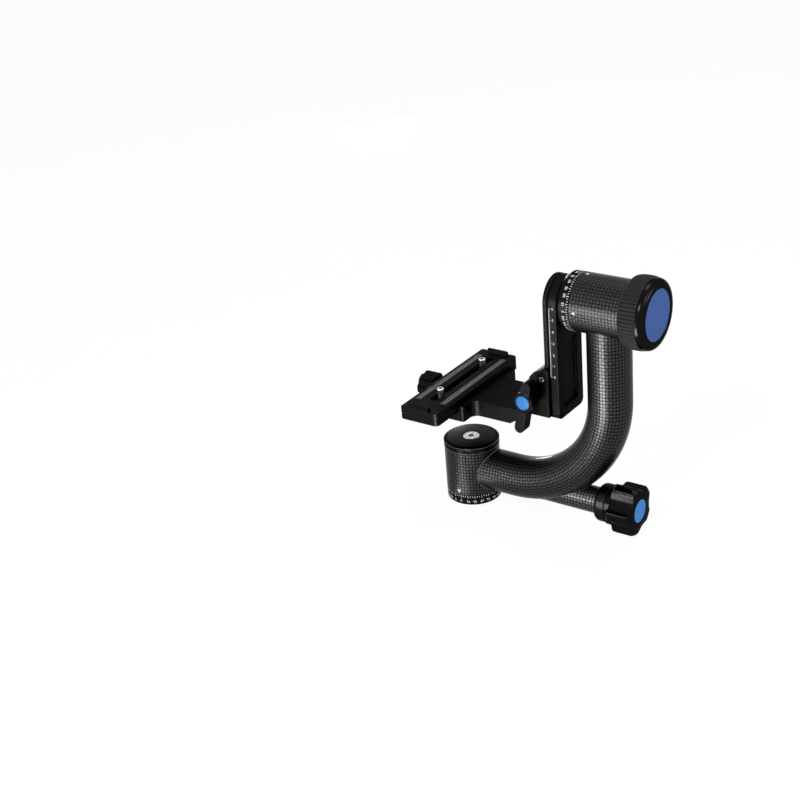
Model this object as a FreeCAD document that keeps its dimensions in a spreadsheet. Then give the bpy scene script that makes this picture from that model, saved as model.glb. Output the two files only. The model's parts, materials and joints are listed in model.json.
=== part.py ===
import FreeCAD, Part
import math
import os
import Sketcher

# Gimbal tripod head: a parametric model in millimetres.
# Frame: +Z up, the origin at the centre of the foot's bottom face, on the pan axis.
# The arm leaves the column along +X and bends up to the hub, whose tilt axis runs along X.
# The cradle hangs from the hub on the -X side, and a lens on it points along -Y.

Vector = FreeCAD.Vector
EDGE, FIRST_POINT, LAST_POINT, CENTRE_POINT = range(4)
ORIGIN = EDGE - 1
FULL_TURN = math.degrees(2.0 * math.pi)

SIZES = {
    # Foot, on the tripod's 3/8 inch stud.
    "base_radius": 24.0, "base_height": 9.5, "edge_break": 0.6,
    "bush_radius": 7.5, "bush_length": 12.0, "bush_bore": 3.97, "stud_relief": 5.0,
    "relief_length": 5.0, "base_screw_circle": 12.0, "base_screw_radius": 1.5,
    "base_screw_head": 2.9, "base_screw_head_height": 1.8, "base_screw_grip": 2.0,
    # Pan spindle and the bearings that pan and tilt share.
    "foot_radius": 16.5, "foot_height": 3.0, "shoulder_height": 1.0,
    "journal_radius": 8.5, "race_wall": 1.8, "race_radius": 15.0, "bearing_width": 7.0,
    "ball_play": 0.2, "pan_spacer_length": 12.5, "washer_radius": 12.0, "washer_height": 1.2,
    "nut_radius": 11.0, "nut_height": 5.0, "spindle_thread": 7.5, "thread_run_out": 0.8,
    # Column of the arm: heights are measured from the arm's centre line.
    "running_gap": 0.4, "column_step": 0.2, "column_wall": 2.2, "column_rise": 22.45,
    "foot_clearance": 1.5, "housing_lip": 1.8, "housing_gap": 0.5, "cap_height": 5.35,
    "cap_round": 1.2, "cap_spigot": 2.8, "cap_spigot_wall": 3.0, "cap_screw_radius": 8.0,
    "cap_screw_height": 1.6, "cap_screw_proud": 0.15, "cap_screw_chamfer": 0.3,
    "cap_screw_shank": 4.0, "cap_socket_radius": 3.4, "cap_socket_depth": 3.0,
    # Bent arm tube: it leaves the column above the foot and comes up under the hub.
    "arm_radius": 18.35, "arm_wall": 2.5, "arm_rise": 19.4, "bend_radius": 93.1,
    "arm_reach": 138.6, "hub_height": 204.07,
    # Hub and the tilt bearings.
    "hub_radius": 24.3, "hub_wall": 2.2, "hub_overhang": 22.6, "hub_length": 43.3,
    "tilt_seat": 3.0, "tilt_spacer_length": 20.0, "spindle_end": 3.0,
    "tilt_foot_height": 6.0, "draw_bore": 4.2, "draw_bore_depth": 24.0,
    "friction_radius": 20.0, "friction_height": 0.6,
    # Tilt scale and swing plate.
    "dial_gap": 0.5, "dial_width": 8.5, "dial_chamfer": 0.3, "flare_length": 4.75,
    "flare_radius": 20.5, "rail_thickness": 12.25, "rail_half_width": 20.0,
    "rail_bottom": 103.5, "rail_corner": 5.0, "dovetail_lip": 3.0, "dovetail_undercut": 2.3,
    "channel_half_width": 12.5, "channel_depth": 2.5, "channel_margin": 8.2,
    "channel_drop": 34.07, "channel_corner": 4.0, "spindle_screw_circle": 12.5,
    "spindle_screw_radius": 2.0, "spindle_screw_head": 3.6, "spindle_screw_head_height": 2.4,
    "spindle_screw_bite": 2.75, "stop_screw_margin": 6.0, "stop_screw_head": 2.2,
    "stop_screw_height": 2.0, "small_screw_radius": 1.5,
    # Tilt lock knob.
    "knob_gap": 0.9, "tilt_knob_radius": 29.9, "grip_thickness": 4.0, "grip_length": 18.8,
    "grip_round": 1.5, "rib_radius": 0.9, "rib_depth": 0.45, "bezel_step": 0.5,
    "bezel_length": 2.6, "bezel_round": 2.4, "disc_radius": 21.8, "disc_thickness": 1.2,
    "disc_recess": 0.4, "draw_screw_radius": 3.9,
    # Pan lock, below the arm's centre line.
    "boss_drop": 4.3, "boss_radius": 11.4, "boss_wall": 2.4, "boss_setback": 11.0,
    "boss_liner_length": 35.6, "collar_radius": 16.4, "collar_length": 10.7,
    "collar_flare": 4.0, "rod_radius": 3.0, "rod_clearance": 0.3,
    "star_radius": 22.2, "star_hub_radius": 17.4, "star_hub_length": 4.7,
    "star_length": 20.4, "star_round": 3.6, "flute_radius": 7.0, "flute_depth": 5.0,
    "knob_chamfer": 1.2, "star_cap_radius": 10.0, "star_cap_rim": 1.0, "star_cap_proud": 0.4,
    "star_cap_depth": 1.5, "star_turn": 45.0,
    "shoe_radius": 3.2, "shoe_length": 5.5, "shoe_gap": 0.3,
    # Platform, its clamp block and its bracket, which hangs on the swing plate.
    "platform_drop": 10.5, "platform_thickness": 14.0, "platform_half_width": 24.5,
    "block_wall": 5.15, "block_half_length": 42.65, "block_shift": 2.35, "block_round": 2.5,
    "web_round": 6.5,
    "ramp_setback": 13.0, "ramp_length": 20.0, "bracket_rise": 13.3, "bracket_depth": 15.0,
    "bracket_length": 42.7, "bracket_round": 18.0, "gusset_radius": 14.0,
    "slide_gap": 0.3, "jaw_cheek": 4.0, "jaw_step": 1.1,
    # Wing knob of the bracket, and its jaw's screw and guide pins.
    "wing_setback": 7.6, "wing_rise": 19.9, "wing_stud_radius": 3.0, "wing_stud_depth": 8.0,
    "wing_neck_radius": 6.5, "wing_neck_length": 8.6, "wing_body_radius": 8.8,
    "wing_body_length": 11.0, "wing_long": 29.1, "wing_short": 18.5, "wing_width": 8.6,
    "wing_cap_radius": 7.8, "wing_cap_proud": 0.6, "wing_cap_depth": 1.4, "wing_lean": 11.5,
    "jaw_screw_setback": 1.3, "jaw_screw_rise": 33.4, "jaw_screw_head": 2.3,
    "jaw_screw_head_height": 1.2, "jaw_screw_length": 4.0,
    "jaw_pin_radius": 1.5, "jaw_pin_length": 12.0, "jaw_pin_seat": 2.5, "jaw_pin_offset": 14.35,
    "bore_spare": 1.0, "overcut": 1.0,
    # Quick release clamp and its lens plate.
    "plate_centre": -2.95, "plate_half_width": 19.0, "clamp_floor_height": 8.3,
    "plate_thickness": 11.4, "plate_front": -71.5, "plate_rear": 56.4, "plate_corner": 4.0,
    "plate_chamfer": 1.2,
    "lip_half_width": 9.5, "lip_rise": 3.3, "lip_length": 5.5,
    "slot_half_width": 3.4, "slot_front_margin": 24.5, "slot_rear_margin": 16.0,
    "counter_half_width": 6.3, "counter_depth": 5.0, "pad_width": 5.0, "pad_height": 0.8,
    "pad_proud": 0.2, "pad_inset": 4.2, "pad_front_margin": 18.5, "pad_rear_margin": 12.0,
    "stop_front_margin": 6.5, "stop_rear_margin": 4.5, "plate_stop_radius": 2.0,
    "plate_stop_depth": 2.2, "plate_stop_grip": 5.0,
    "lens_screw_radius": 3.1, "lens_screw_head": 5.8, "lens_screw_head_height": 3.5,
    "lens_screw_proud": 5.5, "lens_screw_front": 10.0, "lens_screw_rear": 12.0,
    "clamp_jaw_thickness": 5.0, "clamp_jaw_half_length": 30.0, "clamp_jaw_round": 1.5,
    "clamp_axis_rise": 4.2, "clamp_stud_radius": 2.5, "clamp_stud_length": 24.0,
    "clamp_pin_radius": 1.5, "clamp_pin_y": 20.0, "clamp_pin_length": 20.0,
    "clamp_knob_radius": 12.5, "clamp_knob_length": 15.0, "clamp_knob_neck": 4.0,
    "clamp_knob_neck_radius": 8.0, "clamp_knob_round": 2.4, "clamp_flute_radius": 4.2,
    "clamp_flute_depth": 2.8, "clamp_cap_radius": 6.5,
}
BALLS, LOBES, GRIP_RIBS, SCREWS = 9, 6, 60, 4


class Size:
    """A length with the expression that gives it, so that a model stays tied to the sheet."""

    def __init__(self, value, text):
        self.value = value
        self.text = text

    def _with(self, other, sign, swap=False):
        right = other if isinstance(other, Size) else Size(float(other), repr(float(other)))
        left, right = (right, self) if swap else (self, right)
        value = {"+": left.value + right.value, "-": left.value - right.value,
                 "*": left.value * right.value}.get(sign)
        if sign == "/":
            value = left.value / right.value
        return Size(value, "(" + left.text + " " + sign + " " + right.text + ")")

    def __add__(self, other):
        return self._with(other, "+")

    def __radd__(self, other):
        return self._with(other, "+", swap=True)

    def __sub__(self, other):
        return self._with(other, "-")

    def __rsub__(self, other):
        return self._with(other, "-", swap=True)

    def __mul__(self, other):
        return self._with(other, "*")

    def __rmul__(self, other):
        return self._with(other, "*", swap=True)

    def __truediv__(self, other):
        return self._with(other, "/")

    def __neg__(self):
        return self._with(0.0, "-", swap=True)


class Sheet:
    """The driving dimensions, each reached by its name as a Size."""

    def __init__(self, doc, table):
        self._sheet = doc.addObject("Spreadsheet::Sheet", "Sizes")
        for row, (name, number) in enumerate(table.items(), start=1):
            self._sheet.set("A%d" % row, name.replace("_", " "))
            self._sheet.set("B%d" % row, str(number))
            self._sheet.setAlias("B%d" % row, name)
        doc.recompute()

    def __getattr__(self, name):
        return Size(getattr(self._sheet, name), "Sizes." + name)


doc = FreeCAD.newDocument("gimbal_head")
S = Sheet(doc, SIZES)


# ---------------------------------------------------------------- drawing helpers

def bind(target, path, size):
    """Sets a property from a Size, or from a plain number."""
    if isinstance(size, Size):
        target.setExpression(path, size.text)
    else:
        target.setExpression(path, repr(float(size)))


def number(size):
    return size.value if isinstance(size, Size) else float(size)


def fix(sketch, kind, elements, size):
    """Adds one dimension to a sketch, tied to the sheet when it comes from there."""
    index = sketch.addConstraint(Sketcher.Constraint(kind, *elements, number(size)))
    if isinstance(size, Size):
        sketch.setExpression("Constraints[%d]" % index, size.text)


def new_body(label):
    body = doc.addObject("PartDesign::Body", label)
    body.Label = label
    return body


def new_sketch(body, plane, offset=0.0):
    """A sketch on one of the body's own planes, moved along that plane's normal."""
    sketch = body.newObject("Sketcher::SketchObject", body.Name + "_sketch")
    support = [item for item in body.Origin.OriginFeatures if item.Role == plane + "_Plane"]
    sketch.AttachmentSupport = [(support[0], "")]
    sketch.MapMode = "FlatFace"
    bind(sketch, "AttachmentOffset.Base.z", offset)
    return sketch


def arc_centre(start, end, radius):
    """Centre of the short arc from start to end; a positive radius puts it on the left."""
    chord = end - start
    middle = start + chord * 0.5
    rise = math.sqrt(max(radius * radius - chord.Length * chord.Length / 4.0, 0.0))
    left = Vector(-chord.y, chord.x, 0.0).normalize()
    return middle + left * (rise if radius > 0 else -rise)


def outline(sketch, points):
    """Draws a closed outline. A point is (x, y), or (x, y, radius) where an arc follows it."""
    places = [Vector(number(p[0]), number(p[1]), 0.0) for p in points]
    count = len(points)
    bends = {}
    for index, point in enumerate(points):
        start, end = places[index], places[(index + 1) % count]
        if len(point) == 2:
            sketch.addGeometry(Part.LineSegment(start, end), False)
            continue
        radius = number(point[2])
        centre = arc_centre(start, end, radius)
        first = math.atan2(start.y - centre.y, start.x - centre.x)
        last = math.atan2(end.y - centre.y, end.x - centre.x)
        if radius < 0:
            first, last = last, first
        circle = Part.Circle(centre, Vector(0, 0, 1), abs(radius))
        sketch.addGeometry(Part.ArcOfCircle(circle, first, last), False)
        bends[index] = radius
    for index in range(count):
        after = (index + 1) % count
        tail = FIRST_POINT if bends.get(index, 1.0) < 0 else LAST_POINT
        head = LAST_POINT if bends.get(after, 1.0) < 0 else FIRST_POINT
        sketch.addConstraint(Sketcher.Constraint("Coincident", index, tail, after, head))
    for index, point in enumerate(points):
        head = LAST_POINT if bends.get(index, 1.0) < 0 else FIRST_POINT
        fix(sketch, "DistanceX", (ORIGIN, FIRST_POINT, index, head), point[0])
        fix(sketch, "DistanceY", (ORIGIN, FIRST_POINT, index, head), point[1])
        if index in bends:
            size = point[2] if bends[index] > 0 else -1.0 * point[2]
            fix(sketch, "Radius", (index,), size)


def circle(sketch, x, y, radius):
    """Draws a circle with its centre at (x, y)."""
    place = Vector(number(x), number(y), 0.0)
    index = sketch.addGeometry(Part.Circle(place, Vector(0, 0, 1), number(radius)), False)
    fix(sketch, "DistanceX", (ORIGIN, FIRST_POINT, index, CENTRE_POINT), x)
    fix(sketch, "DistanceY", (ORIGIN, FIRST_POINT, index, CENTRE_POINT), y)
    fix(sketch, "Radius", (index,), radius)


def extrude(body, plane, low, high, draw, cut=False):
    """Pads or pockets what draw(sketch) draws, from low to high along the plane's axis."""
    start = -1.0 * high if plane == "XZ" else low
    sketch = new_sketch(body, plane, start)
    draw(sketch)
    kind = "PartDesign::Pocket" if cut else "PartDesign::Pad"
    feature = body.newObject(kind, body.Name + ("_pocket" if cut else "_pad"))
    feature.Profile = sketch
    feature.Reversed = cut
    bind(feature, "Length", high - low)
    return feature


def prism(body, plane, low, high, points, cut=False):
    return extrude(body, plane, low, high, lambda sketch: outline(sketch, points), cut)


def hole(body, plane, x, y, radius, low, high):
    """A round hole across the plane, centred at (x, y) in it."""
    return extrude(body, plane, low, high, lambda sketch: circle(sketch, x, y, radius), cut=True)


def revolve(body, points):
    """Turns an outline of (radius, height) points about the body's own Z axis."""
    sketch = new_sketch(body, "XZ")
    outline(sketch, points)
    feature = body.newObject("PartDesign::Revolution", body.Name + "_turn")
    feature.Profile = sketch
    feature.ReferenceAxis = (sketch, ["V_Axis"])
    feature.Angle = FULL_TURN
    return feature


def polar(body, feature, count):
    """Repeats a feature round the body's own Z axis."""
    pattern = body.newObject("PartDesign::PolarPattern", body.Name + "_pattern")
    pattern.Originals = [feature]
    axes = [item for item in body.Origin.OriginFeatures if item.Role == "Z_Axis"]
    pattern.Axis = (axes[0], [""])
    pattern.Angle = FULL_TURN
    pattern.Occurrences = count
    body.Tip = pattern
    return pattern


TURNED_TO = {
    "+Z": FreeCAD.Rotation(),
    "-Z": FreeCAD.Rotation(Vector(1, 0, 0), 180.0),
    "+X": FreeCAD.Rotation(Vector(0, 1, 0), 90.0),
    "-X": FreeCAD.Rotation(Vector(0, 1, 0), -90.0),
    "+Y": FreeCAD.Rotation(Vector(1, 0, 0), -90.0),
    "-Y": FreeCAD.Rotation(Vector(1, 0, 0), 90.0),
}


def place(item, x, y, z, axis="+Z", spin=0.0):
    """Puts an object's own origin at (x, y, z) and turns its Z axis to the named axis."""
    turn = TURNED_TO[axis].multiply(FreeCAD.Rotation(Vector(0, 0, 1), spin))
    item.Placement = FreeCAD.Placement(Vector(0, 0, 0), turn)
    for name, size in zip("xyz", (x, y, z)):
        bind(item, "Placement.Base." + name, size)
    return item


def turned(label, points, x=0.0, y=0.0, z=0.0, axis="+Z", spin=0.0):
    """A turned piece: an outline of (radius, height) points about the named axis."""
    body = new_body(label)
    revolve(body, points)
    return place(body, x, y, z, axis, spin)


def tube(label, inner, outer, length, **where):
    """A plain ring or sleeve."""
    return turned(label, [(inner, 0.0), (outer, 0.0), (outer, length), (inner, length)], **where)


def rod(label, radius, length, **where):
    """A plain pin."""
    return turned(label, [(0.0, 0.0), (radius, 0.0), (radius, length), (0.0, length)], **where)


def group(label, items):
    """Loose copies of one kind of piece, kept as separate solids of one node."""
    bundle = doc.addObject("Part::Compound", label)
    bundle.Label = label
    bundle.Links = items
    return bundle


def cut_from(label, base, tools):
    """A piece less the space that its neighbours take."""
    for index, tool in enumerate(tools):
        result = doc.addObject("Part::Cut", label + "_cut_%d" % index)
        result.Base = base
        result.Tool = tool
        base = result
    base.Label = label
    return base


NODES = []


def keep(*items):
    """Lists the pieces that become nodes."""
    NODES.extend(items)


# ---------------------------------------------------------------- places that pieces share

column_radius = S.base_radius + S.column_step
arm_height = S.base_height + S.arm_rise
column_top = arm_height + S.column_rise
boss_height = arm_height - S.boss_drop
sleeve_start = S.base_height + S.running_gap
foot_top = S.base_height + S.foot_height
lower_bearing = foot_top + S.shoulder_height
upper_bearing = lower_bearing + S.bearing_width + S.pan_spacer_length
bearing_top = upper_bearing + S.bearing_width
column_bore = column_radius - S.column_wall
cap_top = column_top + S.cap_height
inner_race_radius = S.journal_radius + S.race_wall
outer_race_bore = S.race_radius - S.race_wall
ball_circle = (inner_race_radius + outer_race_bore) / 2.0
ball_radius = (outer_race_bore - inner_race_radius) / 2.0 - S.ball_play

hub_start = S.arm_reach - S.hub_overhang
hub_end = hub_start + S.hub_length
hub_bore = S.hub_radius - S.hub_wall
rail_back = hub_start - S.dial_gap - S.dial_width - S.flare_length
rail_front = rail_back - S.rail_thickness
first_tilt_bearing = hub_start + S.tilt_seat
second_tilt_bearing = first_tilt_bearing + S.bearing_width + S.tilt_spacer_length
tilt_bearing_end = second_tilt_bearing + S.bearing_width
spindle_tip = tilt_bearing_end + S.spindle_end
bend_x = S.arm_reach - S.bend_radius
bend_z = arm_height + S.bend_radius
knob_start = hub_end + S.knob_gap
grip_end = knob_start + S.grip_length

boss_end = S.arm_reach - S.boss_setback
boss_liner_start = boss_end - S.boss_liner_length
collar_end = boss_end + S.collar_length
star_start = collar_end + S.running_gap
shoe_start = inner_race_radius + S.shoe_gap
shoe_end = shoe_start + S.shoe_length

platform_bottom = S.rail_bottom - S.platform_drop
platform_top = platform_bottom + S.platform_thickness
bracket_bottom = platform_bottom + S.bracket_rise
bracket_top = bracket_bottom + S.bracket_length
bracket_left = rail_front - S.bracket_depth
ramp_end = rail_front - S.ramp_setback
clamp_floor = platform_bottom + S.clamp_floor_height
clamp_axis = platform_bottom + S.clamp_axis_rise
plate_left = S.plate_centre - S.plate_half_width
plate_right = S.plate_centre + S.plate_half_width
plate_bottom = clamp_floor + S.slide_gap
plate_top = plate_bottom + S.plate_thickness
plate_lip_top = plate_bottom + S.dovetail_lip
plate_neck_top = plate_lip_top + S.dovetail_undercut
channel_floor = rail_front - S.slide_gap
lip_edge = rail_front + S.dovetail_lip
bracket_right = lip_edge + S.dovetail_undercut - S.slide_gap
hook_reach = S.dovetail_undercut - 2.0 * S.slide_gap
jaw_face = S.rail_half_width + S.jaw_cheek
jaw_parting = S.rail_half_width - S.jaw_step
jaw_back = jaw_parting + S.slide_gap
wing_x = rail_front - S.wing_setback
wing_z = bracket_bottom + S.wing_rise


# ---------------------------------------------------------------- foot and pan spindle

def screw(label, shank, head, head_height, length, **where):
    """A countersunk screw: its head starts at its own origin, and its shank runs up its axis."""
    return turned(label, [(0.0, 0.0), (head, 0.0), (shank, head_height),
                          (shank, length), (0.0, length)], **where)


def ring_of(make, count, circle_radius, start_angle=0.0):
    """Copies spaced evenly on a circle: make(index, x, y) builds each one."""
    made = []
    for index in range(count):
        angle = math.radians(start_angle + FULL_TURN * index / count)
        made.append(make(index, circle_radius * math.cos(angle), circle_radius * math.sin(angle)))
    return made


def hexagon(corner_radius):
    return ring_of(lambda index, x, y: (x, y), 6, corner_radius)


def base_screw_set():
    length = S.base_height + S.base_screw_grip

    def make(index, x, y):
        return screw("base_screw_%d" % index, S.base_screw_radius, S.base_screw_head,
                     S.base_screw_head_height, length, x=x, y=y)
    return ring_of(make, SCREWS, S.base_screw_circle)


def base_flange(screws):
    blank = turned("flange_blank", [
        (S.bush_radius, 0.0), (S.base_radius - S.edge_break, 0.0), (S.base_radius, S.edge_break),
        (S.base_radius, S.base_height - S.edge_break),
        (S.base_radius - S.edge_break, S.base_height), (S.bush_radius, S.base_height)])
    return cut_from("base_flange", blank, screws)


def pan_spindle(screws):
    foot, top = S.base_height, bearing_top + S.washer_height + S.nut_height + S.thread_run_out
    relief_top = S.bush_length + S.relief_length
    blank = turned("spindle_blank", [
        (S.bush_radius, foot), (S.foot_radius, foot), (S.foot_radius, foot_top),
        (inner_race_radius, foot_top), (inner_race_radius, lower_bearing),
        (S.journal_radius, lower_bearing), (S.journal_radius, bearing_top),
        (S.spindle_thread, bearing_top), (S.spindle_thread, top), (0.0, top),
        (0.0, relief_top), (S.stud_relief, relief_top),
        (S.stud_relief, S.bush_length), (S.bush_radius, S.bush_length)])
    return cut_from("pan_spindle", blank, screws)


def spindle_nut():
    """A hexagon nut on the spindle's thread, clear of the housing's wall."""
    body = new_body("spindle_nut")
    start = bearing_top + S.washer_height
    corners = hexagon(S.nut_radius)
    prism(body, "XY", start, start + S.nut_height, corners)
    hole(body, "XY", 0.0, 0.0, S.spindle_thread, start, start + S.nut_height)
    return body


def races(label, inner, outer, starts, height, axis):
    """One kind of bearing ring for both bearings of a spindle."""
    made = []
    for index, start in enumerate(starts):
        where = {"x": start} if axis == "+X" else {"z": start}
        where.setdefault("z", height)
        made.append(tube(label + "_%d" % index, inner, outer, S.bearing_width, axis=axis, **where))
    return group(label, made)


def balls(label, starts, height, axis):
    """The balls of both bearings of a spindle."""
    made = []
    for side, start in enumerate(starts):
        middle = start + S.bearing_width / 2.0

        def make(index, u, v, side=side, middle=middle):
            ball = doc.addObject("Part::Sphere", label + "_%d_%d" % (side, index))
            bind(ball, "Radius", ball_radius)
            spot = (middle, u, height + v) if axis == "+X" else (u, v, middle)
            return place(ball, *spot)
        made.extend(ring_of(make, BALLS, ball_circle))
    return group(label, made)


pan_starts = (lower_bearing, upper_bearing)
tilt_starts = (first_tilt_bearing, second_tilt_bearing)

foot_screws = base_screw_set()
keep(
    base_flange(foot_screws),
    tube("mount_bush", S.bush_bore, S.bush_radius, S.bush_length),
    group("base_screws", foot_screws),
    pan_spindle(foot_screws),
    races("pan_inner_races", S.journal_radius, inner_race_radius, pan_starts, 0.0, "+Z"),
    races("pan_outer_races", outer_race_bore, S.race_radius, pan_starts, 0.0, "+Z"),
    balls("pan_balls", pan_starts, 0.0, "+Z"),
    tube("pan_spacer", S.journal_radius, inner_race_radius, S.pan_spacer_length,
         z=lower_bearing + S.bearing_width),
    tube("spindle_washer", S.spindle_thread, S.washer_radius, S.washer_height, z=bearing_top),
    spindle_nut(),
)


# ---------------------------------------------------------------- column of the arm

def envelope(label, radius, low, high, x, y, z, axis):
    """A plain cylinder from low to high along its axis, used to trim a neighbour."""
    cylinder = doc.addObject("Part::Cylinder", label)
    bind(cylinder, "Radius", radius)
    bind(cylinder, "Height", high - low)
    if axis == "+X":
        return place(cylinder, low, y, z, axis)
    return place(cylinder, x, y, low, axis)


def lock_bore(label, start, end, radius):
    return envelope(label, radius, start, end, 0.0, 0.0, boss_height, "+X")


def column_liner():
    """The bearing housing inside the column, bored across for the pan lock."""
    lip_bore = S.foot_radius + S.foot_clearance
    top, seat = column_top - S.cap_spigot, lower_bearing - S.housing_gap
    housing = turned("column_housing", [
        (lip_bore, sleeve_start), (column_bore, sleeve_start), (column_bore, top),
        (S.race_radius, top), (S.race_radius, upper_bearing),
        (S.race_radius - S.housing_lip, upper_bearing),
        (S.race_radius - S.housing_lip, lower_bearing + S.bearing_width),
        (S.race_radius, lower_bearing + S.bearing_width), (S.race_radius, seat),
        (lip_bore, seat)])
    bore = lock_bore("liner_bore", 0.0, column_radius, S.shoe_radius + S.rod_clearance)
    return cut_from("column_liner", housing, [bore])


def column_sleeve():
    sleeve = tube("sleeve_blank", column_bore, column_radius, column_top - sleeve_start,
                  z=sleeve_start)
    bore = lock_bore("sleeve_bore", 0.0, column_radius + S.overcut, S.shoe_radius + S.rod_clearance)
    return cut_from("column_sleeve", sleeve, [bore])


def column_cap():
    low, edge = column_top, column_radius
    spigot_bottom = low - S.cap_spigot
    recess = cap_top - S.cap_screw_height
    return turned("column_cap", [
        (S.cap_screw_shank, low), (column_bore - S.cap_spigot_wall, low),
        (column_bore - S.cap_spigot_wall, spigot_bottom), (column_bore, spigot_bottom),
        (column_bore, low), (edge - S.edge_break, low), (edge, low + S.edge_break),
        (edge, cap_top - S.cap_round, S.cap_round),
        (edge - S.cap_round, cap_top), (S.cap_screw_radius, cap_top),
        (S.cap_screw_radius, recess), (S.cap_screw_shank, recess)])


def cap_screw():
    """The bright socket screw in the middle of the cap."""
    body = new_body("cap_screw")
    top, recess = cap_top + S.cap_screw_proud, cap_top - S.cap_screw_height
    soft = S.cap_screw_chamfer
    revolve(body, [
        (0.0, column_top), (S.cap_screw_shank, column_top), (S.cap_screw_shank, recess),
        (S.cap_screw_radius, recess), (S.cap_screw_radius, top - soft),
        (S.cap_screw_radius - soft, top), (0.0, top)])
    prism(body, "XY", top - S.cap_socket_depth, top + S.overcut, hexagon(S.cap_socket_radius), cut=True)
    return body


# ---------------------------------------------------------------- bent arm and hub

def arm_pipe(label, radius):
    """A round bar along the arm's centre line: level, round the bend, and up to the hub."""
    body = new_body(label)
    path = new_sketch(body, "XZ")
    corner = Vector(number(bend_x), number(bend_z), 0.0)
    level = number(arm_height)
    path.addGeometry(Part.LineSegment(Vector(0, level, 0), Vector(corner.x, level, 0)), False)
    bend = Part.Circle(corner, Vector(0, 0, 1), number(S.bend_radius))
    path.addGeometry(Part.ArcOfCircle(bend, -math.pi / 2.0, 0.0), False)
    reach = number(S.arm_reach)
    path.addGeometry(Part.LineSegment(Vector(reach, corner.y, 0),
                                      Vector(reach, number(S.hub_height), 0)), False)
    path.addConstraint(Sketcher.Constraint("Coincident", 0, LAST_POINT, 1, FIRST_POINT))
    path.addConstraint(Sketcher.Constraint("Coincident", 1, LAST_POINT, 2, FIRST_POINT))
    ends = (((0, FIRST_POINT), (0.0, arm_height)), ((1, FIRST_POINT), (bend_x, arm_height)),
            ((1, LAST_POINT), (S.arm_reach, bend_z)), ((2, LAST_POINT), (S.arm_reach, S.hub_height)))
    for point, (x, y) in ends:
        fix(path, "DistanceX", (ORIGIN, FIRST_POINT) + point, x)
        fix(path, "DistanceY", (ORIGIN, FIRST_POINT) + point, y)
    fix(path, "Radius", (1,), S.bend_radius)
    profile = new_sketch(body, "YZ")
    circle(profile, 0.0, arm_height, radius)
    pipe = body.newObject("PartDesign::AdditivePipe", label + "_sweep")
    pipe.Profile = profile
    pipe.Spine = path
    return body


def arm_tube():
    column = envelope("column_envelope", column_radius, 0.0, cap_top, 0.0, 0.0, 0.0, "+Z")
    hub = envelope("hub_envelope", S.hub_radius, hub_start, hub_end, 0.0, 0.0, S.hub_height,
                   "+X")
    boss = lock_bore("boss_envelope", bend_x, boss_end, S.boss_radius - S.boss_wall)
    return cut_from("arm_tube", arm_pipe("arm_outside", S.arm_radius),
                    [arm_pipe("arm_inside", S.arm_radius - S.arm_wall), column, hub, boss])


def pan_boss():
    """The short carbon sleeve that leaves the elbow in line with the pan lock."""
    blank = tube("boss_blank", S.boss_radius - S.boss_wall, S.boss_radius, boss_end - bend_x,
                 x=bend_x, z=boss_height, axis="+X")
    return cut_from("pan_boss", blank, [arm_pipe("elbow_envelope", S.arm_radius)])


def boss_collar():
    """The metal collar behind the star knob, flared out from the sleeve."""
    return turned("boss_collar", [
        (S.rod_radius + S.rod_clearance, 0.0), (S.collar_radius - S.collar_flare, 0.0,
                                                S.collar_flare),
        (S.collar_radius, S.collar_flare),
        (S.collar_radius, S.collar_length - S.edge_break),
        (S.collar_radius - S.edge_break, S.collar_length),
        (S.rod_radius + S.rod_clearance, S.collar_length)],
        x=boss_end, z=boss_height, axis="+X")


def hub_liner():
    """The bearing housing inside the hub."""
    seat = S.tilt_seat
    first_end = seat + S.bearing_width
    second = first_end + S.tilt_spacer_length
    lip = S.race_radius - S.housing_lip
    return turned("hub_liner", [
        (lip, 0.0), (hub_bore, 0.0), (hub_bore, S.hub_length), (S.race_radius, S.hub_length),
        (S.race_radius, second), (lip, second), (lip, first_end), (S.race_radius, first_end),
        (S.race_radius, seat), (lip, seat)],
        x=hub_start, z=S.hub_height, axis="+X")


keep(
    column_liner(),
    column_sleeve(),
    column_cap(),
    cap_screw(),
    arm_tube(),
    pan_boss(),
    tube("boss_liner", S.rod_radius + S.rod_clearance, S.boss_radius - S.boss_wall,
         boss_end - boss_liner_start, x=boss_liner_start, z=boss_height, axis="+X"),
    boss_collar(),
    tube("hub_sleeve", hub_bore, S.hub_radius, S.hub_length,
         x=hub_start, z=S.hub_height, axis="+X"),
    hub_liner(),
    races("tilt_outer_races", outer_race_bore, S.race_radius, tilt_starts, S.hub_height, "+X"),
    tube("friction_washer", S.race_radius - S.housing_lip, S.friction_radius, S.friction_height,
         x=hub_end, z=S.hub_height, axis="+X"),
)


# ---------------------------------------------------------------- pan lock

def star_knob(label, radius, hub_radius, hub_length, length, rounding, flute, depth,
              bore, cap_radius, cap_depth, **where):
    """A fluted hand knob: a turned blank with the finger flutes cut round it."""
    body = new_body(label)
    face = length + S.star_cap_proud
    revolve(body, [
        (bore, 0.0), (hub_radius, 0.0), (hub_radius, hub_length),
        (radius - S.knob_chamfer, hub_length), (radius, hub_length + S.knob_chamfer),
        (radius, length - rounding, rounding), (radius - rounding, length),
        (cap_radius + S.star_cap_rim, face), (cap_radius, face),
        (cap_radius, face - cap_depth), (bore, face - cap_depth)])
    cutter = hole(body, "XY", radius + flute - depth, 0.0, flute, hub_length, face)
    polar(body, cutter, LOBES)
    return place(body, **where)


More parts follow.
